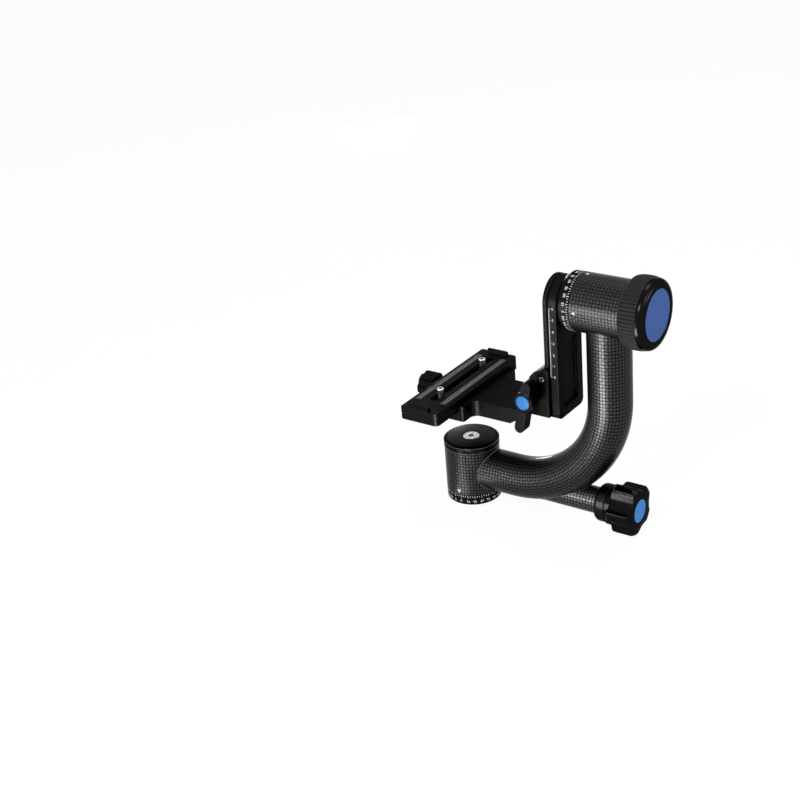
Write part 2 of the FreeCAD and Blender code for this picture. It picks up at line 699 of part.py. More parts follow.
star_face = star_start + S.star_hub_length + S.star_length
keep(
    star_knob("pan_knob", S.star_radius, S.star_hub_radius, S.star_hub_length,
              S.star_hub_length + S.star_length, S.star_round, S.flute_radius, S.flute_depth,
              S.rod_radius, S.star_cap_radius, S.star_cap_depth,
              x=star_start, y=0.0, z=boss_height, axis="+X", spin=S.star_turn.value),
    rod("pan_knob_cap", S.star_cap_radius, S.star_cap_depth,
        x=star_face + S.star_cap_proud - S.star_cap_depth, z=boss_height, axis="+X"),
    rod("pan_lock_rod", S.rod_radius, star_face + S.star_cap_proud - S.star_cap_depth - shoe_end,
        x=shoe_end, z=boss_height, axis="+X"),
    rod("pan_brake_shoe", S.shoe_radius, S.shoe_length,
        x=shoe_start, z=boss_height, axis="+X"),
)


# ---------------------------------------------------------------- tilt scale, spindle, rail

def tilt_dial():
    """The scale ring between the swing plate and the hub."""
    end = S.flare_length + S.dial_width
    return turned("tilt_dial", [
        (S.foot_radius, 0.0), (S.flare_radius, 0.0), (S.hub_radius, S.flare_length),
        (S.hub_radius, end - S.dial_chamfer), (S.hub_radius - S.dial_chamfer, end),
        (inner_race_radius, end), (inner_race_radius, S.tilt_foot_height),
        (S.foot_radius, S.tilt_foot_height)],
        x=rail_back, z=S.hub_height, axis="+X")


def tilt_spindle():
    body = new_body("tilt_spindle")
    foot, seat, tip = S.tilt_foot_height, first_tilt_bearing - rail_back, spindle_tip - rail_back
    revolve(body, [
        (0.0, 0.0), (S.foot_radius, 0.0), (S.foot_radius, foot), (inner_race_radius, foot),
        (inner_race_radius, seat), (S.journal_radius, seat), (S.journal_radius, tip),
        (S.draw_bore, tip), (S.draw_bore, tip - S.draw_bore_depth),
        (0.0, tip - S.draw_bore_depth)])
    tapped = hole(body, "XY", S.spindle_screw_circle, 0.0, S.spindle_screw_radius,
                  0.0, S.spindle_screw_bite)
    polar(body, tapped, SCREWS)
    return place(body, rail_back, 0.0, S.hub_height, "+X", 45.0)


def rail_blank():
    """The dovetail rail: round at the top about the tilt axis, undercut along both edges."""
    body = new_body("rail_blank")
    half, top, low, corner = S.rail_half_width, S.hub_height, S.rail_bottom, S.rail_corner
    prism(body, "YZ", rail_front, rail_back, [
        (-half + corner, low), (half - corner, low, corner), (half, low + corner), (half, top, half),
        (0.0, top + half, half), (-half, top), (-half, low + corner, corner)])
    bay, round_bay = S.channel_half_width, S.channel_corner
    low_bay, top_bay = low + S.channel_margin, top - S.channel_drop
    prism(body, "YZ", rail_back - S.channel_depth, rail_back + S.overcut, [
        (-bay + round_bay, low_bay), (bay - round_bay, low_bay, round_bay),
        (bay, low_bay + round_bay), (bay, top_bay - round_bay, round_bay),
        (bay - round_bay, top_bay), (-bay + round_bay, top_bay, round_bay),
        (-bay, top_bay - round_bay), (-bay, low_bay + round_bay, round_bay)], cut=True)
    return body


def undercut_tools():
    """The dovetail's undercut: straight along both edges and turned about the tilt axis above."""
    half, deep, lip = S.rail_half_width, S.dovetail_undercut, S.dovetail_lip
    arc = new_body("undercut_arc")
    turn = revolve(arc, [(half + S.overcut, lip), (half, lip), (half - deep, lip + deep),
                         (half + S.overcut, lip + deep)])
    turn.Angle = FULL_TURN / 2.0
    tools = [place(arc, rail_front, 0.0, S.hub_height, "+X", FULL_TURN / 4.0)]
    for index, side in enumerate((-1.0, 1.0)):
        edge = new_body("undercut_edge_%d" % index)
        prism(edge, "XY", S.rail_bottom - S.overcut, S.hub_height, [
            (lip_edge, side * (half + S.overcut)), (lip_edge, side * half),
            (lip_edge + deep, side * (half - deep)), (lip_edge + deep, side * (half + S.overcut))])
        tools.append(edge)
    return tools


def spindle_screw_set():
    def make(index, u, v):
        return screw("spindle_screw_%d" % index, S.spindle_screw_radius, S.spindle_screw_head,
                     S.spindle_screw_head_height, S.rail_thickness + S.spindle_screw_bite,
                     x=rail_front, y=u, z=S.hub_height + v, axis="+X")
    return ring_of(make, SCREWS, S.spindle_screw_circle, 45.0)


def stop_screw():
    """The screw near the swing plate's top that keeps the platform from sliding off."""
    head, shank = S.stop_screw_height, S.small_screw_radius
    length = head + S.rail_thickness / 2.0
    return turned("rail_stop_screw", [
        (0.0, 0.0), (S.stop_screw_head, 0.0), (S.stop_screw_head, head), (shank, head),
        (shank, length), (0.0, length)],
        x=rail_front - head, z=S.hub_height + S.rail_half_width - S.stop_screw_margin, axis="+X")


rail_screws = spindle_screw_set()
end_stop = stop_screw()
keep(
    tilt_dial(),
    tilt_spindle(),
    cut_from("swing_plate", rail_blank(), undercut_tools() + rail_screws + [end_stop]),
    group("spindle_screws", rail_screws),
    end_stop,
    races("tilt_inner_races", S.journal_radius, inner_race_radius, tilt_starts, S.hub_height,
          "+X"),
    balls("tilt_balls", tilt_starts, S.hub_height, "+X"),
    tube("tilt_spacer", S.journal_radius, inner_race_radius, S.tilt_spacer_length,
         x=first_tilt_bearing + S.bearing_width, z=S.hub_height, axis="+X"),
)


# ---------------------------------------------------------------- tilt lock knob

def tilt_knob_core():
    """The metal body of the knob, under the rubber."""
    radius = S.tilt_knob_radius - S.grip_thickness
    length = S.grip_length
    return turned("tilt_knob_core", [
        (S.draw_screw_radius, 0.0), (radius - S.edge_break, 0.0), (radius, S.edge_break),
        (radius, length), (S.draw_screw_radius, length)],
        x=knob_start, z=S.hub_height, axis="+X")


def tilt_grip_ring():
    """The rubber ring, ribbed lengthwise all round."""
    body = new_body("tilt_grip_ring")
    outer, soft = S.tilt_knob_radius, S.grip_round
    revolve(body, [
        (outer - S.grip_thickness, 0.0), (outer - soft, 0.0, soft), (outer, soft),
        (outer, S.grip_length), (outer - S.grip_thickness, S.grip_length)])
    cutter = hole(body, "XY", outer + S.rib_radius - S.rib_depth, 0.0, S.rib_radius,
                  soft, S.grip_length)
    polar(body, cutter, GRIP_RIBS)
    return place(body, knob_start, 0.0, S.hub_height, "+X")


def tilt_knob_bezel():
    """The smooth front shell round the blue disc."""
    seat = S.bezel_length - S.disc_recess - S.disc_thickness
    outer, soft = S.tilt_knob_radius - S.bezel_step, S.bezel_round
    return turned("tilt_knob_bezel", [
        (S.draw_screw_radius, 0.0), (outer, 0.0), (outer, S.bezel_length - soft, soft),
        (outer - soft, S.bezel_length), (S.disc_radius, S.bezel_length),
        (S.disc_radius, seat), (S.draw_screw_radius, seat)],
        x=grip_end, z=S.hub_height, axis="+X")


disc_start = grip_end + S.bezel_length - S.disc_recess - S.disc_thickness
draw_screw_start = spindle_tip - S.draw_bore_depth + S.slide_gap
keep(
    tilt_knob_core(),
    tilt_grip_ring(),
    tilt_knob_bezel(),
    rod("tilt_knob_disc", S.disc_radius, S.disc_thickness,
        x=disc_start, z=S.hub_height, axis="+X"),
    rod("tilt_draw_screw", S.draw_screw_radius, disc_start - draw_screw_start,
        x=draw_screw_start, z=S.hub_height, axis="+X"),
)


# ---------------------------------------------------------------- platform and its bracket

def bracket_outline(left):
    """Side view of the bracket: square at the swing plate, round at the top front."""
    top, bend = bracket_top, S.bracket_round
    return [(left, bracket_bottom), (bracket_right, bracket_bottom), (bracket_right, top),
            (left + bend, top, bend), (left, top - bend)]


def platform_blank():
    """The arm under the lens: clamp block, arm, ramp and bracket in one casting."""
    body = new_body("platform_blank")
    low, top = platform_bottom, platform_top
    wide, turn, left, bend = (S.platform_half_width, S.gusset_radius, bracket_left,
                              S.bracket_round)
    edge = plate_right + S.block_wall
    prism(body, "XZ", -wide, wide, [
        (edge, low), (ramp_end - S.ramp_length, low), (ramp_end, bracket_bottom),
        (bracket_right, bracket_bottom), (bracket_right, bracket_top),
        (left + bend, bracket_top, bend), (left, bracket_top - bend),
        (left, top + turn, -1.0 * turn), (left - turn, top), (edge, top)])
    near, far = S.block_shift - S.block_half_length, S.block_shift + S.block_half_length
    fillet, soft = S.web_round, S.block_round
    prism(body, "XY", low, top, [
        (plate_left, near), (edge - soft, near, soft), (edge, near + soft),
        (edge, -wide - fillet, -1.0 * fillet), (edge + fillet, -wide),
        (edge + fillet, wide, -1.0 * fillet), (edge, wide + fillet),
        (edge, far - soft, soft), (edge - soft, far), (plate_left, far)])
    wall, hook = plate_right + S.slide_gap, hook_reach
    ledge = plate_neck_top - S.slide_gap
    prism(body, "XZ", near - S.overcut, far + S.overcut, [
        (plate_left - S.overcut, clamp_floor), (wall, clamp_floor), (wall, ledge - hook),
        (wall - hook, ledge), (wall, ledge), (wall, top + S.overcut),
        (plate_left - S.overcut, top + S.overcut)], cut=True)
    half = S.rail_half_width + S.slide_gap
    prism(body, "XY", bracket_bottom - S.overcut, bracket_top + S.overcut, [
        (channel_floor, -half), (bracket_right + S.overcut, -half), (bracket_right + S.overcut, half - hook),
        (bracket_right, half - hook), (bracket_right - hook, half), (channel_floor, half)],
        cut=True)
    prism(body, "XZ", -wide - S.overcut, -jaw_parting, [
        (left - S.slide_gap, low - S.overcut), (bracket_right + S.overcut, low - S.overcut),
        (bracket_right + S.overcut, bracket_top + S.overcut),
        (left - S.slide_gap, bracket_top + S.overcut)], cut=True)
    return body


def cylinder_tool(label, radius, length):
    cylinder = doc.addObject("Part::Cylinder", label)
    bind(cylinder, "Radius", radius)
    bind(cylinder, "Height", length)
    return cylinder


def cross_bore(label, radius, end, z):
    """A bore along Y from outside the jaw to the stated depth past the parting face."""
    start = -1.0 * jaw_face - S.bore_spare
    bore = cylinder_tool(label, radius + S.slide_gap, end - jaw_parting - start)
    return place(bore, wing_x, start, z, "+Y")


def platform():
    pin_end = jaw_parting - jaw_face + S.jaw_pin_seat + S.jaw_pin_length + S.bore_spare
    tools = [
        cross_bore("wing_bore", S.wing_stud_radius, S.wing_stud_depth + S.bore_spare, wing_z),
        cross_bore("low_pin_bore", S.jaw_pin_radius, pin_end, wing_z - S.jaw_pin_offset),
        cross_bore("high_pin_bore", S.jaw_pin_radius, pin_end, wing_z + S.jaw_pin_offset),
    ]
    for index, (y, radius, length) in enumerate(clamp_bores()):
        bore = cylinder_tool("clamp_bore_%d" % index, radius + S.slide_gap,
                             length + 2.0 * S.bore_spare)
        tools.append(place(bore, plate_left - S.bore_spare, y, clamp_axis, "+X"))
    return cut_from("platform", platform_blank(), tools)


def clamp_bores():
    """The stud's bore and the two guide pins' bores: (y, radius, length)."""
    return [(0.0, S.clamp_stud_radius, S.clamp_stud_length),
            (-1.0 * S.clamp_pin_y, S.clamp_pin_radius, S.clamp_pin_length),
            (S.clamp_pin_y, S.clamp_pin_radius, S.clamp_pin_length)]


# ---------------------------------------------------------------- jaw and wing knob

def rail_jaw(fixings):
    """The front cheek of the bracket, which hooks over the swing plate's edge."""
    body = new_body("jaw_blank")
    hook = hook_reach
    inner = S.rail_half_width + S.slide_gap - hook
    prism(body, "XZ", -1.0 * jaw_face, -1.0 * inner, bracket_outline(bracket_left))
    shelf, edge = jaw_back, S.rail_half_width + S.slide_gap
    inside = channel_floor - S.slide_gap
    prism(body, "XY", bracket_bottom - S.overcut, bracket_top + S.overcut, [
        (bracket_left - S.overcut, -shelf), (inside, -shelf), (inside, -edge),
        (bracket_right - hook, -edge), (bracket_right, -inner), (bracket_right, -inner + S.overcut),
        (bracket_left - S.overcut, -inner + S.overcut)], cut=True)
    stud = cross_bore("jaw_stud_hole", S.wing_stud_radius, S.wing_stud_depth, wing_z)
    return cut_from("rail_jaw", body, [stud] + fixings)


def wing_knob():
    """A wing on a round hub: the long wing hangs down, the short one stands up."""
    body = new_body("wing_knob")
    neck, deep = S.wing_neck_length, S.wing_body_length
    face = neck + deep
    cap_seat = face + S.wing_cap_proud - S.wing_cap_depth
    revolve(body, [
        (0.0, 0.0), (S.wing_neck_radius, 0.0), (S.wing_neck_radius, neck),
        (S.wing_body_radius, neck), (S.wing_body_radius, face - S.edge_break),
        (S.wing_body_radius - S.edge_break, face), (0.0, face)])
    half = S.wing_width / 2.0
    for side, reach in ((-1.0, S.wing_long), (1.0, S.wing_short)):
        far, bend = side * (reach - half), -side * half
        prism(body, "XY", neck, face - S.edge_break, [
            (-half, 0.0), (-half, far, bend), (0.0, side * reach, bend), (half, far),
            (half, 0.0)])
    hole(body, "XY", 0.0, 0.0, S.wing_cap_radius, cap_seat, face + S.overcut)
    hole(body, "XY", 0.0, 0.0, S.wing_stud_radius, 0.0, cap_seat)
    return place(body, wing_x, -1.0 * (jaw_face + S.running_gap), wing_z, "-Y",
                 -S.wing_lean.value)


wing_face = jaw_face + S.running_gap + S.wing_neck_length + S.wing_body_length
wing_cap_back = wing_face + S.wing_cap_proud - S.wing_cap_depth
jaw_screw = turned("jaw_screw", [
    (0.0, 0.0), (S.jaw_screw_head, 0.0), (S.jaw_screw_head, S.jaw_screw_head_height),
    (S.small_screw_radius, S.jaw_screw_head_height),
    (S.small_screw_radius, S.jaw_screw_length),
    (0.0, S.jaw_screw_length)],
    x=rail_front - S.jaw_screw_setback, y=-1.0 * jaw_face,
    z=bracket_bottom + S.jaw_screw_rise, axis="+Y")
jaw_pins = [rod("jaw_pin_%d" % index, S.jaw_pin_radius, S.jaw_pin_length,
                x=wing_x, y=S.jaw_pin_seat - jaw_face, z=z, axis="+Y")
            for index, z in enumerate((wing_z - S.jaw_pin_offset, wing_z + S.jaw_pin_offset))]
keep(
    platform(),
    rail_jaw([jaw_screw] + jaw_pins),
    jaw_screw,
    group("jaw_guide_pins", jaw_pins),
    wing_knob(),
    rod("wing_knob_cap", S.wing_cap_radius, S.wing_cap_depth,
        x=wing_x, y=-1.0 * wing_cap_back, z=wing_z, axis="-Y"),
    rod("wing_stud", S.wing_stud_radius, wing_cap_back - jaw_parting + S.wing_stud_depth,
        x=wing_x, y=-1.0 * wing_cap_back, z=wing_z, axis="+Y"),
)


# ---------------------------------------------------------------- quick release clamp

jaw_inner = plate_left - S.slide_gap
jaw_outer = jaw_inner - S.clamp_jaw_thickness


def clamp_pins():
    return [rod("clamp_pin_%d" % index, S.clamp_pin_radius, S.clamp_pin_length + S.bore_spare,
                x=jaw_outer + S.clamp_jaw_round, y=y, z=clamp_axis, axis="+X")
            for index, y in enumerate((-1.0 * S.clamp_pin_y, S.clamp_pin_y))]


def clamp_jaw(pins):
    """The sliding jaw, with the same hook as the fixed one."""
    body = new_body("clamp_jaw_blank")
    half, hook, ledge = S.clamp_jaw_half_length, hook_reach, plate_neck_top - S.slide_gap
    low, top, soft = platform_bottom + S.edge_break, platform_top, S.clamp_jaw_round
    prism(body, "XZ", -half, half, [
        (jaw_outer + soft, low), (jaw_inner, low), (jaw_inner, ledge - hook),
        (jaw_inner + hook, ledge), (jaw_inner, ledge), (jaw_inner, top),
        (jaw_outer + soft, top, soft), (jaw_outer, top - soft), (jaw_outer, low + soft, soft)])
    stud = envelope("clamp_stud_hole", S.clamp_stud_radius, jaw_outer - S.bore_spare,
                    jaw_inner + S.bore_spare, 0.0, 0.0, clamp_axis, "+X")
    return cut_from("clamp_jaw", body, [stud] + pins)


clamp_face = S.clamp_knob_neck + S.clamp_knob_length
clamp_start = jaw_outer - S.running_gap
clamp_cap_depth = S.star_cap_depth
pins = clamp_pins()
keep(
    clamp_jaw(pins),
    group("clamp_guide_pins", pins),
    star_knob("clamp_knob", S.clamp_knob_radius, S.clamp_knob_neck_radius, S.clamp_knob_neck,
              clamp_face, S.clamp_knob_round, S.clamp_flute_radius, S.clamp_flute_depth,
              S.clamp_stud_radius, S.clamp_cap_radius, clamp_cap_depth,
              x=clamp_start, y=0.0, z=clamp_axis, axis="-X"),
    rod("clamp_knob_cap", S.clamp_cap_radius, clamp_cap_depth,
        x=clamp_start - clamp_face - S.star_cap_proud + clamp_cap_depth, z=clamp_axis,
        axis="-X"),
    rod("clamp_stud", S.clamp_stud_radius,
        clamp_face + S.star_cap_proud - clamp_cap_depth + S.running_gap
        + S.clamp_jaw_thickness + S.clamp_stud_length,
        x=clamp_start - clamp_face - S.star_cap_proud + clamp_cap_depth, z=clamp_axis,
        axis="+X"),
)


# ---------------------------------------------------------------- lens plate

def plate_blank():
    """The long dovetail plate, with a raised stop at each end and a slot for the screws."""
    body = new_body("plate_blank")
    middle, half = S.plate_centre, S.plate_half_width
    low, top, front, rear, soft = (plate_bottom, plate_top, S.plate_front, S.plate_rear,
                                   S.plate_corner)
    left, right = middle - half, middle + half
    prism(body, "XY", low, top, [
        (left + soft, front), (right - soft, front, soft), (right, front + soft),
        (right, rear - soft, soft), (right - soft, rear), (left + soft, rear, soft),
        (left, rear - soft), (left, front + soft, soft)])
    deep, lip, bevel, spare = S.dovetail_undercut, plate_lip_top, S.plate_chamfer, S.overcut
    for side in (-1.0, 1.0):
        edge = middle + side * half
        prism(body, "XZ", front - S.overcut, rear + S.overcut, [
            (edge + side * spare, lip), (edge, lip), (edge - side * deep, plate_neck_top),
            (edge + side * spare, plate_neck_top)], cut=True)
        prism(body, "XZ", front - spare, rear + spare, [
            (edge + side * spare, top - bevel), (edge, top - bevel), (edge - side * bevel, top),
            (edge - side * bevel, top + spare), (edge + side * spare, top + spare)], cut=True)
    stop, rise = S.lip_length, S.lip_rise
    high = top + rise
    for near, far, side in ((front, front + stop, 1.0), (rear, rear - stop, -1.0)):
        prism(body, "YZ", middle - S.lip_half_width, middle + S.lip_half_width, [
            (near, top - spare), (near, high - rise / 2.0), (near + side * rise / 2.0, high),
            (far - side * rise / 2.0, high), (far, top), (far, top - spare)])
    slot, wide = S.slot_half_width, S.counter_half_width
    slot_front, slot_rear = front + S.slot_front_margin, rear - S.slot_rear_margin
    for width, first, last, bottom, ceiling in (
            (slot, slot_front, slot_rear, low - spare, top + spare),
            (wide, slot_front - wide + slot, slot_rear + wide - slot, low - spare,
             low + S.counter_depth)):
        prism(body, "XY", bottom, ceiling, [
            (middle - width, first, width), (middle, first - width, width),
            (middle + width, first), (middle + width, last, width),
            (middle, last + width, width), (middle - width, last)], cut=True)
    return body


def plate_pads():
    """The two rubber strips that a lens foot sits on."""
    made = []
    front, rear = S.plate_front + S.pad_front_margin, S.plate_rear - S.pad_rear_margin
    for index, side in enumerate((-1.0, 1.0)):
        outer = S.plate_centre + side * (S.plate_half_width - S.pad_inset)
        inner = outer - side * S.pad_width
        body = new_body("plate_pad_%d" % index)
        prism(body, "XY", plate_top - S.pad_height, plate_top + S.pad_proud, [
            (outer, front), (inner, front), (inner, rear), (outer, rear)])
        made.append(body)
    return made


def plate_stops():
    """The end screws under the plate, which stop it in the clamp."""
    head, shank = S.plate_stop_depth, S.small_screw_radius
    length = head + S.plate_stop_grip
    spots = (S.plate_front + S.stop_front_margin, S.plate_rear - S.stop_rear_margin)
    return [turned("plate_stop_%d" % index, [
        (0.0, 0.0), (S.plate_stop_radius, 0.0), (S.plate_stop_radius, head), (shank, head),
        (shank, length), (0.0, length)], x=S.plate_centre, y=y, z=plate_bottom - head)
        for index, y in enumerate(spots)]


def lens_screws():
    """The two screws that hold a lens foot, standing in the slot."""
    ceiling, top = plate_bottom + S.counter_depth, plate_top + S.lens_screw_proud
    head_bottom = ceiling - S.lens_screw_head_height
    shank, soft = S.lens_screw_radius, S.edge_break
    spots = (S.plate_front + S.slot_front_margin + S.lens_screw_front,
             S.plate_rear - S.slot_rear_margin - S.lens_screw_rear)
    return [turned("lens_screw_%d" % index, [
        (0.0, head_bottom), (S.lens_screw_head, head_bottom), (S.lens_screw_head, ceiling),
        (shank, ceiling), (shank, top - soft), (shank - soft, top), (0.0, top)],
        x=S.plate_centre, y=y)
        for index, y in enumerate(spots)]


pads = plate_pads()
stops = plate_stops()
keep(
    cut_from("lens_plate", plate_blank(), pads + stops),
    group("plate_pads", pads),
    group("plate_stop_screws", stops),
    group("lens_screws", lens_screws()),
)


# ---------------------------------------------------------------- checks and export

def check_model():
    """Stops with a plain message where an object failed or a node isn't sound."""
    for item in doc.Objects:
        if {"Invalid", "Error"} & set(item.State):
            raise SystemExit("failed object: %s %s" % (item.Name, item.State))
    for item in NODES:
        if item.Shape.isNull() or not item.Shape.isValid():
            raise SystemExit("bad shape: " + item.Label)
        if not item.Shape.Solids:
            raise SystemExit("no solid: " + item.Label)


def export_nodes():
    os.makedirs("parts", exist_ok=True)
    for item in NODES:
        item.Shape.exportStep(os.path.join("parts", item.Label + ".step"))


doc.recompute()
check_model()
export_nodes()
print("%d nodes, %d solids" % (len(NODES), sum(len(item.Shape.Solids) for item in NODES)))
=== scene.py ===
"""Gimbal tripod head: finishes, scales, small trim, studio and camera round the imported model.

Lengths are in metres in the model's own frame: +Z up along the pan axis, +X from the column
towards the arm's upright and along the tilt axis, and a lens on the plate points along -Y.
Outlines of turned pieces are in millimetres, as (along the axis, radius).
"""

import json
import logging
import math
from dataclasses import dataclass, field
from enum import Enum
from typing import Callable, Iterable, Union

import bmesh
import bpy
from mathutils import Matrix, Quaternion, Vector


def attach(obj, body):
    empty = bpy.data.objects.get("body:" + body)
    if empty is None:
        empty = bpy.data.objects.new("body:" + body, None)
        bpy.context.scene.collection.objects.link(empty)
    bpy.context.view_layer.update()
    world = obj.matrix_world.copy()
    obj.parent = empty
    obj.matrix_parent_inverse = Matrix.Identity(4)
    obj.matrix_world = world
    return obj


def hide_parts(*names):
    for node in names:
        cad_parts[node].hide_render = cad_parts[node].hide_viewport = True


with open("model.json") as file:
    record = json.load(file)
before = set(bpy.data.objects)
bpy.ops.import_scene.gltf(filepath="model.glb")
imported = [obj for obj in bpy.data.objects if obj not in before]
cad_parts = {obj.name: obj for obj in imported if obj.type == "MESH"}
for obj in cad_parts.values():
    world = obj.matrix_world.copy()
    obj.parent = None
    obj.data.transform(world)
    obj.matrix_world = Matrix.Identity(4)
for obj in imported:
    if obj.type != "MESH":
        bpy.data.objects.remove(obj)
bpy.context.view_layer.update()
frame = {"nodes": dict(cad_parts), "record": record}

log = logging.getLogger("gimbal_head")

Colour = tuple[float, float, float]
Point = tuple[float, float, float]
Spot = tuple[float, float]

MM = 0.001
TURN = 2.0 * math.pi
WHITE: Colour = (1.0, 1.0, 1.0)
DARK_TINT: Colour = (0.5, 0.5, 0.5)  # keeps black metal black where it is seen edge on
TICK_DEGREES = 5
TICK_WIDTH = 0.5 * MM
FIGURE_HEIGHT = 2.3 * MM
FONT_RISE = 0.7  # height of the font's figures, as a share of its size
FONT_BOLD = 0.03  # growth of their outline, as a share of their height


# ---- shader building


@dataclass(frozen=True)
class Wire:
    """A number that varies over a surface: an output socket with Python's operators."""

    graph: "Graph"
    socket: bpy.types.NodeSocket

    def of(self, operation: str, *others: "Value") -> "Wire":
        """Adds one Math node.

        Args:
            operation: Blender's name of the operation.
            others: The inputs after this one.

        Returns:
            The node's result.
        """
        values = {0: self, **dict(enumerate(others, start=1))}
        return self.graph.make("ShaderNodeMath", {"operation": operation}, values)

    def __add__(self, other: "Value") -> "Wire":
        """Sum."""
        return self.of("ADD", other)

    __radd__ = __add__

    def __sub__(self, other: "Value") -> "Wire":
        """Difference."""
        return self.of("SUBTRACT", other)

    def __rsub__(self, other: float) -> "Wire":
        """A number less this one."""
        return self.graph.make("ShaderNodeMath", {"operation": "SUBTRACT"}, {0: other, 1: self})

    def __mul__(self, other: "Value") -> "Wire":
        """Product."""
        return self.of("MULTIPLY", other)

    __rmul__ = __mul__

    def __truediv__(self, other: "Value") -> "Wire":
        """Quotient."""
        return self.of("DIVIDE", other)

    def __mod__(self, other: "Value") -> "Wire":
        """Remainder, counted from below for negative numbers too."""
        return self.of("FLOORED_MODULO", other)

    def __gt__(self, other: "Value") -> "Wire":
        """One where this is the larger, else zero."""
        return self.of("GREATER_THAN", other)

    def __lt__(self, other: "Value") -> "Wire":
        """One where this is the smaller, else zero."""
        return self.of("LESS_THAN", other)


Value = Union[Wire, float]
Paint = Union[Wire, Colour]


class Graph:
    """A node tree that is filled from Python expressions."""

    def __init__(self, tree: bpy.types.NodeTree,
                 material: bpy.types.Material | None = None) -> None:
        """Empties a tree and keeps it, with its material if it has one."""
        self.tree, self.material = tree, material
        tree.nodes.clear()

    @classmethod
    def named(cls, name: str) -> "Graph":
        """Starts an empty material.

        Args:
            name: The material's name.

        Returns:
            The graph of its tree.
        """
        material = bpy.data.materials.new(name)
        material.use_nodes = True
        return cls(material.node_tree, material)

    def make(self, kind: str, settings: dict | None = None, values: dict | None = None,
             output: Union[int, str] = 0) -> Wire:
        """Adds one node of any kind.

        Args:
            kind: The node's type name.
            settings: Properties to set first.
            values: Numbers, colours or wires for the inputs, by name or place.
            output: Which output the result stands for.

        Returns:
            The chosen output.
        """
        node = self.tree.nodes.new(kind)
        for name, value in (settings or {}).items():
            setattr(node, name, value)
        for key, value in (values or {}).items():
            if isinstance(value, Wire):
                self.tree.links.new(value.socket, node.inputs[key])
            elif isinstance(value, tuple) and len(value) == 3 and node.inputs[key].type == "RGBA":
                node.inputs[key].default_value = (*value, 1.0)
            else:
                node.inputs[key].default_value = value
        return Wire(self, node.outputs[output])

    def place(self) -> tuple[Wire, ...]:
        """The point on the object, in metres in the model's frame.

        Returns:
            Its three numbers.
        """
        spot = self.make("ShaderNodeTexCoord", output="Object")
        parts = self.make("ShaderNodeSeparateXYZ", None, {0: spot}).socket.node
        return tuple(Wire(self, part) for part in parts.outputs)

    def noise(self, scale: float, detail: float = 2.0) -> Wire:
        """Noise fixed to the object.

        Args:
            scale: Waves in a metre.
            detail: Octaves added.

        Returns:
            The noise, about 0.5.
        """
        spot = self.make("ShaderNodeTexCoord", output="Object")
        return self.make("ShaderNodeTexNoise", None,
                         {"Vector": spot, "Scale": scale, "Detail": detail}, "Fac")

    def blend(self, mask: Wire, low: Paint, high: Paint) -> Wire:
        """A colour between two others.

        Args:
            mask: Zero for the first, one for the second.
            low: First colour.
            high: Second colour.

        Returns:
            The mixed colour.
        """
        settings = {"data_type": "RGBA", "clamp_factor": True}
        return self.make("ShaderNodeMix", settings, {"Factor": mask, 6: low, 7: high}, 2)

    def bump(self, height: Wire, depth: float, strength: float) -> Wire:
        """A Bump node for the Normal socket.

        Args:
            height: Height, where one is the full depth.
            depth: Full depth in metres.
            strength: How much of it shows.

        Returns:
            The bumped normal.
        """
        values = {"Height": height, "Distance": depth, "Strength": strength}
        return self.make("ShaderNodeBump", None, values)

    def finish(self, **sockets: Union[Wire, Colour, float]) -> bpy.types.Material:
        """Closes a material's tree with a Principled shader.

        Args:
            sockets: The shader's inputs, with underscores for spaces.

        Returns:
            The material.
        """
        values = {name.replace("_", " "): value for name, value in sockets.items()}
        self.close(self.make("ShaderNodeBsdfPrincipled", None, values))
        return self.material

    def close(self, shader: Wire, kind: str = "ShaderNodeOutputMaterial") -> None:
        """Joins a shader to the tree's output."""
        end = self.tree.nodes.new(kind)
        self.tree.links.new(shader.socket, end.inputs["Surface"])


# ---- finishes


@dataclass(frozen=True)
class SatinMetal:
    """Black anodised aluminium: a cloudy colour under the fine grain of bead blasting."""

    name: str
    low: Colour
    high: Colour
    roughness: float
    grain: float = 2600.0
    depth: float = 0.03 * MM
    detail: float = 1.0
    spread: float = 0.22
    strength: float = 0.5
    cloud: float = 38.0
    cloud_spread: float = 0.08
    metallic: float = 1.0
    specular: float = 0.5
    tint: Colour = DARK_TINT

    def build(self) -> bpy.types.Material:
        """Makes the material.

        Returns:
            The material.
        """
        graph = Graph.named(self.name)
        grain, cloud = graph.noise(self.grain, self.detail), graph.noise(self.cloud)
        rough = self.roughness + (grain - 0.5) * self.spread
        return graph.finish(
            Base_Color=graph.blend(cloud, self.low, self.high),
            Metallic=self.metallic,
            Roughness=rough + (cloud - 0.5) * self.cloud_spread,
            Specular_IOR_Level=self.specular,
            Specular_Tint=self.tint,
            Normal=graph.bump(grain, self.depth, self.strength),
        )


@dataclass(frozen=True)
class BareMetal(SatinMetal):
    """Turned or ground metal with a fine grain of machining."""

    grain: float = 1500.0
    depth: float = 0.01 * MM
    detail: float = 2.0
    spread: float = 0.14
    strength: float = 0.3
    cloud: float = 60.0
    cloud_spread: float = 0.0
    tint: Colour = WHITE


@dataclass(frozen=True)
class Moulded(SatinMetal):
    """Rubber, resin, paint or printed ink, with a fine skin."""

    depth: float = 0.01 * MM
    detail: float = 2.0
    spread: float = 0.2
    cloud: float = 45.0
    cloud_spread: float = 0.0
    metallic: float = 0.0
    specular: float = 0.1
    tint: Colour = WHITE


